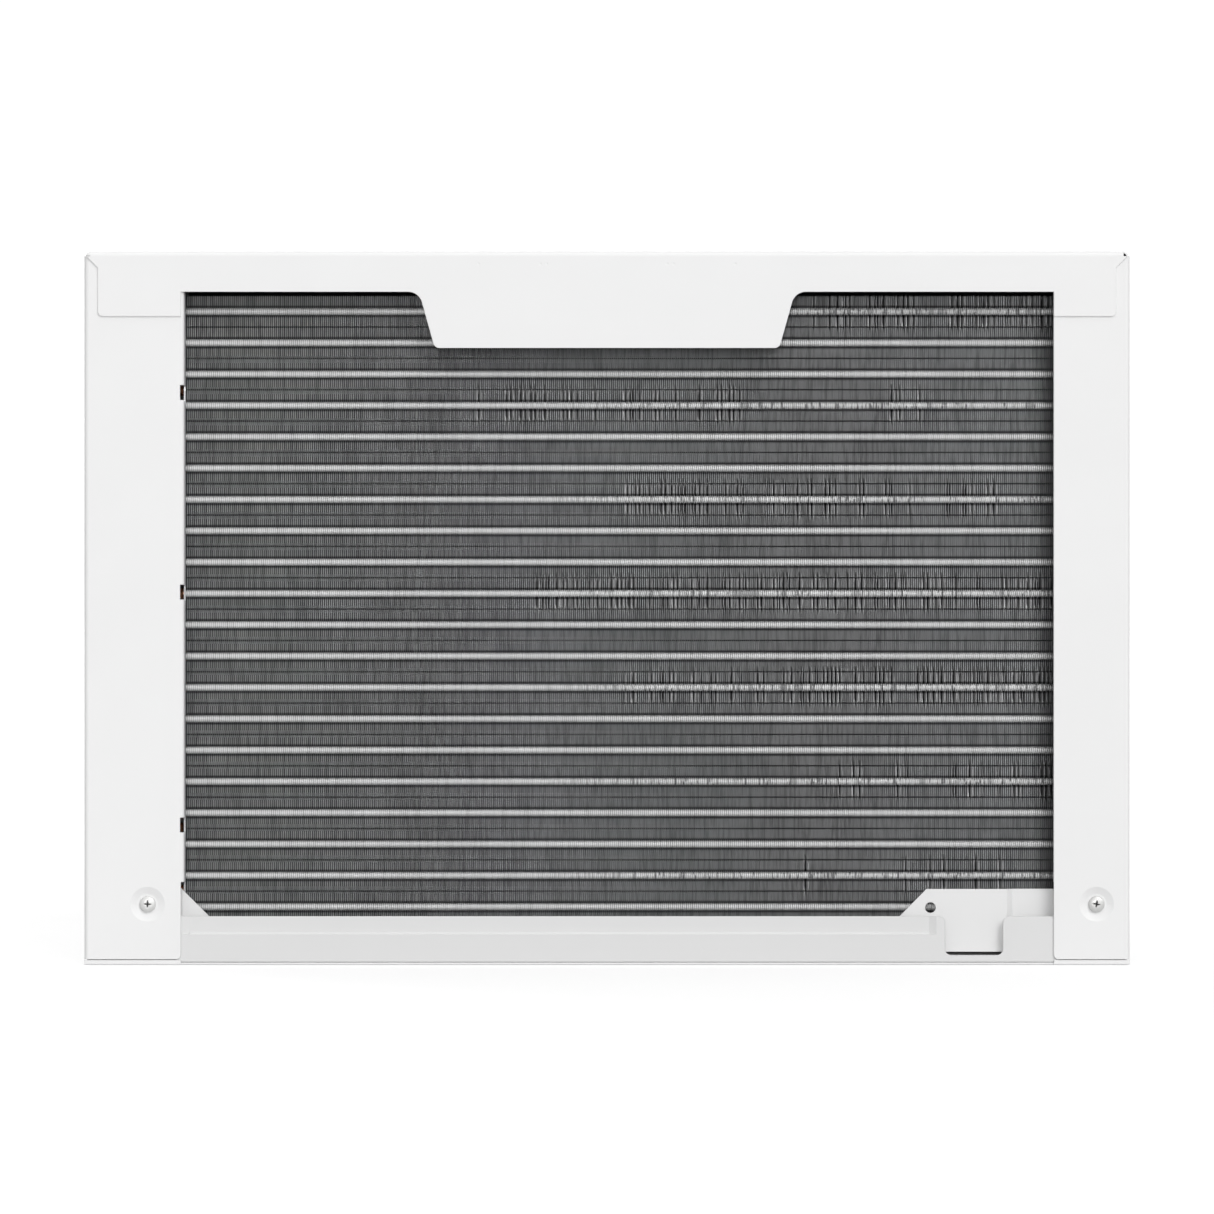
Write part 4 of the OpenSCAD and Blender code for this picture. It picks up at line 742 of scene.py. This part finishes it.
# Where fins were bent, by tube row: from X, to X and the share of fins that are bent
BENT = {
    19: [(-0.205, -0.284, 0.45), (-0.13, -0.205, 0.20)],
    16: [(0.085, -0.085, 0.22), (-0.165, -0.20, 0.20)],
    13: [(-0.01, -0.25, 0.22)],
    10: [(0.045, -0.085, 0.40), (-0.085, -0.284, 0.28)],
    7: [(-0.01, -0.06, 0.18), (-0.06, -0.284, 0.34)],
    4: [(-0.12, -0.284, 0.13)],
    1: [(-0.12, -0.284, 0.05)],
}
fin_pack("condenser_fin", "condenser_fins", "coil_fin", pitch=1.27 * MM, thick=0.2 * MM,
         rows=row_z, bent=BENT, seed=11, pieces=6)
coil_tubes("condenser_tube", "condenser_tubes",
           [(COIL_HI.y - 4.1 * MM, COIL_HI.y - 6.5 * MM, ROW_0, ROWS),
            (COIL_HI.y - 19.5 * MM, COIL_HI.y - 19.5 * MM, ROW_0 + ROW_GAP / 2, ROWS - 2)],
           ROW_GAP, TUBE_R, COIL_LO.x - PAST_FINS, COIL_HI.x + PAST_FINS)

EVAP_LO, EVAP_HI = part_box("evaporator_fins")
EVAP_GAP = 21 * MM
EVAP_ROWS = 12
evap_first = EVAP_LO.z + 10.5 * MM
evap_z = [evap_first + k * EVAP_GAP for k in range(EVAP_ROWS)]
fin_pack("evaporator_fin", "evaporator_fins", "fin_aluminium", pitch=1.6 * MM, thick=0.18 * MM,
         rows=evap_z, bent={}, seed=12, pieces=2, rear=False)
coil_tubes("evaporator_tube", "evaporator_tubes",
           [(EVAP_LO.y + 5.0 * MM, EVAP_LO.y + 9.5 * MM, evap_first, EVAP_ROWS),
            (EVAP_LO.y + 29.5 * MM, EVAP_LO.y + 29.5 * MM, evap_first + EVAP_GAP / 2, EVAP_ROWS)],
           EVAP_GAP, TUBE_R, EVAP_LO.x - PAST_FINS, EVAP_HI.x + PAST_FINS)


# ---------------------------------------------------------------- screws


def cross_head(name, centre, axis, r, height, turn, body):
    """Pan head with a pressed cross recess. centre is under the head."""
    bm = bmesh.new()
    o, a = Vector(centre), Vector(axis).normalized()
    u = a.orthogonal().normalized()
    v = a.cross(u)
    sides, rings = 72, 26
    arm, half_w, depth = 0.50 * r, 0.12 * r, 0.62 * height
    rim = 0.93

    def top(x, y):
        """How high the head is there, and how far down in the recess, from 0 to 1."""
        out = math.hypot(x, y) / r
        z = height * (1 - 0.42 * out ** 2.6)
        if out > rim:
            z -= height * 0.5 * ((out - rim) / (1 - rim)) ** 2
        c, d = math.cos(turn), math.sin(turn)
        p, q = c * x + d * y, c * y - d * x
        inside = 0.0
        for m, n in ((p, q), (q, p)):
            across = min(1, max(0, (half_w * (1.25 - 0.5 * abs(m) / arm) - abs(n)) / (0.10 * r)))
            along = min(1, max(0, (arm - abs(m)) / (0.16 * r)))
            inside = max(inside, across * along)
        return z - depth * inside, inside

    grid, marks = [], {}
    for i in range(1, rings + 1):
        ring, out = [], r * i / rings
        for c, d in circle(sides):
            x, y = out * c, out * d
            z, inside = top(x, y)
            vert = bm.verts.new(o + x * u + y * v + z * a)
            marks[vert] = inside
            ring.append(vert)
        grid.append(ring)
    z, inside = top(0, 0)
    middle = bm.verts.new(o + z * a)
    marks[middle] = inside
    skirt = [bm.verts.new(o + 0.9 * r * (c * u + d * v)) for c, d in circle(sides)]
    for k in range(sides):
        n = (k + 1) % sides
        bm.faces.new((middle, grid[0][k], grid[0][n]))
        for p, q in zip(grid, grid[1:]):
            bm.faces.new((p[k], q[k], q[n], p[n]))
        bm.faces.new((grid[-1][k], skirt[k], skirt[n], grid[-1][n]))
    bm.faces.new(skirt)
    bmesh.ops.recalc_face_normals(bm, faces=bm.faces)
    # Faces well down in the recess get painted shade
    for f in bm.faces:
        if min(marks.get(vert, 0) for vert in f.verts) > 0.55:
            f.material_index = 1
    mesh = bpy.data.meshes.new(name)
    bm.to_mesh(mesh)
    bm.free()
    return finish_mesh(add_piece(name, mesh, body, "screw_zinc", "screw_recess_shade"), 50)


SCREW_LO, SCREW_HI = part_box("rear_screws")
screw_r = 5.2 * MM
screw_head = 2.2 * MM
screw_z = (SCREW_LO.z + SCREW_HI.z) / 2
screw_seat = SCREW_HI.y - 2.25 * MM
right_screw = cross_head("rear_screw_right", (SCREW_HI.x - screw_r, screw_seat, screw_z), Y,
                         screw_r, screw_head, 0.75, "cabinet")
cross_head("rear_screw_left", (SCREW_LO.x + screw_r, screw_seat, screw_z), Y,
           screw_r, screw_head, 0.60, "cabinet")
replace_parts(right_screw, "rear_screws")


# ---------------------------------------------------------------- pipes


def pipes(name, node, runs):
    """Drawn tube with smooth bends. Each run is its points, radius and bend, in millimetres."""
    bm = bmesh.new()
    for points, r, bend in runs:
        sweep(bm, rounded_path(mm(points), bend * MM, 8), r * MM, 18)
    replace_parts(from_bmesh(name, bm, "tube_copper", body_of(node)), node)


pipes("suction_pipe_tube", "suction_pipe", [
    ([(113, -216.5, 297), (134, -216.5, 297), (134, -140, 300), (134, 20, 300), (134, 110, 310),
      (218, 152, 310), (218, 152, 246)], 5, 22),
    ([(113, -236.5, 55.5), (124, -236.5, 55.5), (124, -216.5, 66), (113, -216.5, 66)], 3.2, 8)])
pipes("discharge_pipe_tube", "discharge_pipe", [
    ([(250, 60, 255), (250, 60, 330), (278, 150, 350), (284, 220, 390), (285, 313.5, 413.03),
      (269.6, 313.5, 413.03)], 3.5, 22)])
pipes("liquid_pipe_tube", "liquid_pipe", [
    ([(269.6, 300.5, 383.2), (290, 300.5, 383.2), (300, 252, 340), (300, 200, 290),
      (300, 200, 214)], 3.2, 20),
    ([(269.6, 313.5, 35.5), (280.6, 313.5, 35.5), (280.6, 300.5, 45.4), (269.6, 300.5, 45.4)], 3.2, 8),
    ([(300, 200, 130), (300, 200, 104), (300, 120, 90), (300, 20, 110), (290, -48, 110), (250, -70, 58),
      (134, -70, 58), (134, -150, 58), (132, -190, 120), (132, -228, 262), (130, -236.5, 286.5),
      (113, -236.5, 286.5)], 1.6, 16)])

# Brazed joints: where each one starts, which way it runs, the tube's radius and its length
JOINTS = [((115, -216.5, 297), X, 5.0, 8), ((218, 152, 246), Z, 5.0, 9), ((250, 60, 255.5), Z, 3.5, 11),
          ((271, 313.5, 413.03), X, 3.5, 7), ((271, 300.5, 383.2), X, 3.2, 7), ((300, 200, 213), Z, 3.2, 8),
          ((300, 200, 131), -Z, 1.6, 7), ((115, -236.5, 286.5), X, 1.6, 7), ((115, -236.5, 55.5), X, 3.2, 5),
          ((115, -216.5, 66), X, 3.2, 5), ((271, 313.5, 35.5), X, 3.2, 5), ((271, 300.5, 45.4), X, 3.2, 5)]
collars = bmesh.new()
for at, way, r, length in JOINTS:
    collar = [(0, r), (0.6, r + 0.9), (length - 1.5, r + 0.9), (length - 0.6, r + 0.5), (length, r)]
    turned_mm(collars, at, way, collar, 20)
from_bmesh("brazed_joints", collars, "solder", "chassis")

insulated = mm([(134, -64, 300), (134, 20, 300), (134, 88, 307.6)])
insulation = bmesh.new()
sweep(insulation, rounded_path(insulated, 22 * MM, 6), 9.5 * MM, 24)
from_bmesh("suction_insulation", insulation, "foam", "chassis")


# ---------------------------------------------------------------- labels and bolts


LABEL_T = 0.12 * MM


def curved_label(name, origin, axis, facing, r, half_angle, lo, hi):
    """Blank label round a drum on the chassis. facing is the direction of its middle."""
    o, a = Vector(origin), Vector(axis).normalized()
    u = Vector(facing).normalized()
    v = a.cross(u)
    steps = 24
    bm = bmesh.new()
    rings = []
    for along, radius in ((lo, r), (lo, r + LABEL_T), (hi, r + LABEL_T), (hi, r)):
        arc = arc_points(o, u, v, radius, -half_angle, half_angle, steps)
        rings.append([bm.verts.new(p + along * a) for p in arc])
    for p, q in zip(rings, rings[1:] + rings[:1]):
        for k in range(steps):
            bm.faces.new((p[k], p[k + 1], q[k + 1], q[k]))
    bm.faces.new([ring[0] for ring in rings])
    bm.faces.new([ring[-1] for ring in rings])
    from_bmesh(name, bm, "label", "chassis")


COMPRESSOR_X = 218 * MM
COMPRESSOR_Y = 60 * MM
MOTOR_X = -70 * MM
MOTOR_Z = 212 * MM
curved_label("compressor_label", (COMPRESSOR_X, COMPRESSOR_Y, 0), Z, (0.75, -0.65, 0),
             60.05 * MM, 0.62, 112 * MM, 182 * MM)
curved_label("motor_label", (MOTOR_X, 0, MOTOR_Z), Y, (0.25, 0, 1), 62.05 * MM, 0.55, 12 * MM, 40 * MM)


def hex_head(bm, centre, axis, across, height):
    """Hexagon head with a washer under it and a chamfered top."""
    turned(bm, centre, axis, [(0, 0.68 * across), (0.9 * MM, 0.68 * across), (1.0 * MM, 0.5 * across)], 28)
    r = across / math.sqrt(3)
    turned(bm, Vector(centre) + 0.8 * MM * Vector(axis), axis,
           [(0, r), (height * 0.8, r), (height, r * 0.84)], 6)


# Four bolts on each face of the motor, and one in each foot of its stand
BOLT_CIRCLE_R = 47 * MM
MOTOR_REAR_Y = 54 * MM
MOTOR_FRONT_Y = -44 * MM
FOOT_OUT = 56 * MM
FOOT_Y = 5 * MM
FOOT_TOP = 24.3 * MM
bolts = bmesh.new()
for k in range(4):
    a = math.radians(15 + 90 * k)
    bolt_x = MOTOR_X + BOLT_CIRCLE_R * math.cos(a)
    bolt_z = MOTOR_Z + BOLT_CIRCLE_R * math.sin(a)
    for y, way in ((MOTOR_REAR_Y, Y), (MOTOR_FRONT_Y, -Y)):
        hex_head(bolts, (bolt_x, y, bolt_z), way, 5.5 * MM, 3.2 * MM)
for x in (MOTOR_X - FOOT_OUT, MOTOR_X + FOOT_OUT):
    hex_head(bolts, (x, FOOT_Y, FOOT_TOP), Z, 8 * MM, 4.5 * MM)
from_bmesh("motor_bolts", bolts, "zinc_screw", "chassis")

clip_path = mm([(192.5, 51, 254), (192.5, 51, 281), (239.5, 51, 281), (239.5, 51, 254)])
clip = bmesh.new()
sweep(clip, rounded_path(clip_path, 3 * MM, 5), 0.9 * MM, 10)
from_bmesh("terminal_clip", clip, "zinc_screw", "chassis")


# ---------------------------------------------------------------- wires


def wires(name, mat, runs):
    """Loose insulated wires on the chassis. Each run is its points in millimetres."""
    bm = bmesh.new()
    for points in runs:
        sweep(bm, rounded_path(mm(points), 14 * MM, 7), 1.15 * MM, 10)
    from_bmesh(name, bm, mat, "chassis")


# Bushes on both faces of the bulkhead for the wires to the compressor and to the motor, and one where
# each set of wires goes in: where each bush starts, which way it runs, and its radius
BUSHES = [((205, -82.5, 285), Y, 9), ((180, -82.5, 262), Y, 9),
          ((205, -85.2, 285), -Y, 9), ((180, -85.2, 262), -Y, 9),
          ((216, 34, 268), -Y, 7), ((-19.6, -22, 247.3), Vector((0.82, 0, 0.574)), 6)]
bushes = bmesh.new()
for at, way, r in BUSHES:
    bush = [(0, r), (1.2, r), (1.8, r - 0.6), (1.8, r - 2), (4.5, r - 2.6), (5.0, r - 3.2)]
    turned_mm(bushes, at, way, bush, 28)
from_bmesh("wire_bushes", bushes, "mount_rubber", "chassis")

# Each wire's colour, how far it lies from the middle of its bundle, and for the compressor's wires
# the X of its terminal
COMPRESSOR_WIRES = [("black", -1.5, -1.0, 247), ("red", 1.5, -1.0, 269), ("yellow", 0, 1.6, 291)]
MOTOR_WIRES = [("white", -1.3, -0.9), ("black", 1.3, -0.9), ("red", 0, 1.5)]
for n, (colour, dx, dz, relay) in enumerate(COMPRESSOR_WIRES):
    wires(f"compressor_wire_{colour}", f"wire_{colour}", [
        [(relay, -231, 279), (relay, -230, 296 + 2 * n), (238 + dx, -170, 300 + 3 * dz),
         (212 + dx, -110, 292 + dz), (205 + dx, -88, 285 + dz)],
        [(205 + dx, -78, 285 + dz), (207 + dx, -52, 287 + dz), (214 + 2 * dx, -4, 284 + 3 * dz),
         (216 + dx, 20, 268 + dz), (216 + dx, 30, 268 + dz)]])
for n, (colour, dx, dz) in enumerate(MOTOR_WIRES):
    wires(f"motor_wire_{colour}", f"wire_{colour}", [
        [(201 + 4 * n, -223, 262), (201 + 4 * n, -205, 264), (190 + 3 * dx, -150, 270 + 3 * dz),
         (180 + dx, -112, 262 + dz), (180 + dx, -88, 262 + dz)],
        [(180 + dx, -78, 262 + dz), (172, -62 + dx, 260 + dz), (70, -58 + 2 * dx, 246 + 2 * dz),
         (8, -40 + dx, 262 + dz), (-12, -22 + dx, 255 + dz), (-16.5, -22 + dx, 250 + dz)]])
wires("capacitor_wires", "wire_white", [
    [(198, -130, 203), (198, -130, 224), (196, -170, 236), (202, -210, 252), (202, -223, 256)],
    [(214, -130, 203), (214, -130, 226), (222, -172, 238), (212, -210, 254), (212, -223, 258)]])

ties = bmesh.new()
for at, way in (((207.5, -50, 286.9), Y), ((121, -60, 253), X)):
    turned_mm(ties, at, way, [(0, 4.2), (2.4, 4.2)], 20)
from_bmesh("wire_ties", ties, "black_plastic", "chassis")


# ---------------------------------------------------------------- air filter

# The frame's bars, from and to, in millimetres
FILTER_BARS_X = [(-328, -325), (-319, -306), (-206, -200), (-100, -94), (6, 12), (112, 118)]
FILTER_BARS_Z = [(42, 50), (128, 133), (211, 216), (294, 304)]
filter_lo, filter_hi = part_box("air_filter")
bars = bmesh.new()
for x0, x1 in FILTER_BARS_X:
    block(bars, (x0 * MM, filter_lo.y, filter_lo.z), (x1 * MM, filter_hi.y, filter_hi.z), 0.5 * MM)
for z0, z1 in FILTER_BARS_Z:
    block(bars, (filter_lo.x, filter_lo.y, z0 * MM), (filter_hi.x, filter_hi.y, z1 * MM), 0.5 * MM)
# A finger recess with a thin back lies between the frame's two outer bars
for z0, z1 in ((42, 150), (196, 304)):
    block(bars, (-325.5 * MM, filter_lo.y, z0 * MM), (-318.5 * MM, filter_hi.y, z1 * MM), 0.5 * MM)
block(bars, (-325.5 * MM, filter_hi.y - 2 * MM, 149 * MM), (-318.5 * MM, filter_hi.y, 197 * MM), 0)
filter_frame = from_bmesh("filter_frame", bars, "filter_plastic", "air_filter")
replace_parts(filter_frame, "air_filter")

# The net: half a thread's thickness, the pitch, how far the two layers lie from the middle, and
# the field that the threads cross
THREAD_HALF = 0.19 * MM
THREAD_PITCH = 1.8 * MM
LAYER = 0.1 * MM
NET_X, NET_WIDTH = -306 * MM, 418 * MM
NET_Z, NET_HEIGHT = 50 * MM, 244 * MM
threads = bmesh.new()
net_y = (filter_lo.y + filter_hi.y) / 2


def thread(p, q, across):
    """One square thread of the filter's net, from p to q."""
    offsets = [(-1, -1), (1, -1), (1, 1), (-1, 1)]
    ends = [[threads.verts.new(e + THREAD_HALF * (i * across + j * Y)) for i, j in offsets] for e in (p, q)]
    for k in range(4):
        n = (k + 1) % 4
        threads.faces.new((ends[0][k], ends[0][n], ends[1][n], ends[1][k]))
    threads.faces.new(ends[0])
    threads.faces.new(ends[1])


for k in range(int(NET_WIDTH / THREAD_PITCH)):
    x = NET_X + (k + 0.5) * THREAD_PITCH
    thread(Vector((x, net_y - LAYER, 46 * MM)), Vector((x, net_y - LAYER, 298 * MM)), X)
for k in range(int(NET_HEIGHT / THREAD_PITCH)):
    z = NET_Z + (k + 0.5) * THREAD_PITCH
    thread(Vector((-308 * MM, net_y + LAYER, z)), Vector((114 * MM, net_y + LAYER, z)), Z)
from_bmesh("filter_net", threads, "filter_plastic", "air_filter")


# ---------------------------------------------------------------- signs on the buttons

BUTTON_FACE_Y = -339.02


def sign(name, button, x, z, strokes):
    """Raised sign on a button's face. A stroke is a list of points from the button's centre, in mm."""
    bm = bmesh.new()
    for stroke in strokes:
        sweep(bm, mm([(x + u, BUTTON_FACE_Y, z + v) for u, v in stroke]), 0.32 * MM, 8)
    from_bmesh(name, bm, "black_plastic", button)


def ring_stroke(r, start, end, steps=24):
    angles = [math.radians(start + (end - start) * i / steps) for i in range(steps + 1)]
    return [(r * math.cos(a), r * math.sin(a)) for a in angles]


def turned_stroke(stroke, degrees):
    c, d = math.cos(math.radians(degrees)), math.sin(math.radians(degrees))
    return [(u * c - v * d, u * d + v * c) for u, v in stroke]


sign("power_sign", "button_power", 290, 392, [ring_stroke(3.4, 125, 415), [(0, 0.6), (0, 4.4)]])
sign("up_sign", "button_temp_up", 256, 403, [[(-2.3, -1.2), (0, 1.5), (2.3, -1.2)]])
sign("down_sign", "button_temp_down", 256, 386, [[(-2.3, 1.2), (0, -1.5), (2.3, 1.2)]])
sign("mode_sign", "button_mode", 208, 357, [ring_stroke(2.1, 0, 360), ring_stroke(0.5, 0, 360, 10)])
fan_blade = [(0.5, 0), (1.7, 1.0), (2.9, 0.5), (2.4, -0.4)]
sign("fan_sign", "button_fan_speed", 268, 357, [turned_stroke(fan_blade, 90 + 120 * k) for k in range(3)])


# ---------------------------------------------------------------- carried-over nodes

# The corner plates get a lighter copy of the pan's paint, as painted light against the shade they sit in
LOOK_OF = {"corner_plates": "plate_paint_lightened"}
for node, obj in NODES.items():
    if obj.hide_render:
        continue
    obj.data.materials.clear()
    obj.data.materials.append(M[LOOK_OF.get(node, SLOT_OF[node])])
    finish_mesh(obj, 32)


# ---------------------------------------------------------------- stage, light and camera

FLOOR_HALF = 60.0
FLOOR_Z = -0.5 * MM
floor_mesh = bpy.data.meshes.new("floor")
corners = [(-1, -1), (1, -1), (1, 1), (-1, 1)]
floor_mesh.from_pydata([(x * FLOOR_HALF, y * FLOOR_HALF, FLOOR_Z) for x, y in corners], [], [(0, 1, 2, 3)])
floor = bpy.data.objects.new("floor", floor_mesh)
bpy.context.scene.collection.objects.link(floor)
floor_surface = Surface("studio floor", (0.50, 0.50, 0.50), 0.9)
floor_surface.shader.inputs["Specular IOR Level"].default_value = 0.1
floor_surface.mottle(1.5, 0.005, 2)
# The camera sees the floor as bright as the backdrop, with its shadows, but it throws less light up
from_camera = floor_surface.node("ShaderNodeLightPath").outputs["Is Camera Ray"]
floor_surface.shader.inputs["Emission Color"].default_value = (1, 1, 1, 1)
floor_glow = floor_surface.spread(from_camera, 0, 0.57, 0, 1)
floor_surface.link(floor_glow, floor_surface.shader.inputs["Emission Strength"])
floor.data.materials.append(floor_surface.mat)

scene = bpy.context.scene
scene.view_settings.view_transform = "Standard"
world = bpy.data.worlds.new("studio")
scene.world = world
world.use_nodes = True
tree = world.node_tree
sky = tree.nodes["Background"]
sky.inputs["Color"].default_value = (1, 1, 1, 1)
sky.inputs["Strength"].default_value = 0.50
backdrop = tree.nodes.new("ShaderNodeBackground")
backdrop.inputs["Color"].default_value = (1, 1, 1, 1)
backdrop.inputs["Strength"].default_value = 1.05
seen = tree.nodes.new("ShaderNodeLightPath")
either = tree.nodes.new("ShaderNodeMixShader")
tree.links.new(seen.outputs["Is Camera Ray"], either.inputs[0])
tree.links.new(sky.outputs[0], either.inputs[1])
tree.links.new(backdrop.outputs[0], either.inputs[2])
tree.links.new(either.outputs[0], tree.nodes["World Output"].inputs["Surface"])


def soft_sun(name, direction, strength, spread_deg):
    """Light from far away, as wide as a large softbox. direction points from the object to the light."""
    data = bpy.data.lights.new(name, "SUN")
    data.energy = strength
    data.angle = math.radians(spread_deg)
    obj = bpy.data.objects.new(name, data)
    obj.rotation_euler = Vector(direction).to_track_quat("Z", "Y").to_euler()
    scene.collection.objects.link(obj)


soft_sun("outdoor side key", (-0.50, 1.0, 0.70), 1.25, 30)
soft_sun("room side key", (0.45, -1.0, 0.45), 1.3, 45)
soft_sun("outdoor side fill", (0.05, 1.0, 0.10), 0.70, 10)
soft_sun("overhead", (-0.10, 0.25, 1.0), 0.5, 40)

LENS_MM = 200.0
SENSOR_MM = 36.0
VIEW_WIDTH = 0.766
CAMERA_HEIGHT = 0.2256
camera_data = bpy.data.cameras.new("camera")
camera_data.lens = LENS_MM
camera_data.sensor_width = SENSOR_MM
camera_data.clip_end = 200
camera = bpy.data.objects.new("camera", camera_data)
rear_plane = CAD_BOX[1].y
camera.location = (0, rear_plane + VIEW_WIDTH * LENS_MM / SENSOR_MM, CAMERA_HEIGHT)
camera.rotation_euler = (math.radians(90), 0, math.radians(180))
scene.collection.objects.link(camera)
scene.camera = camera
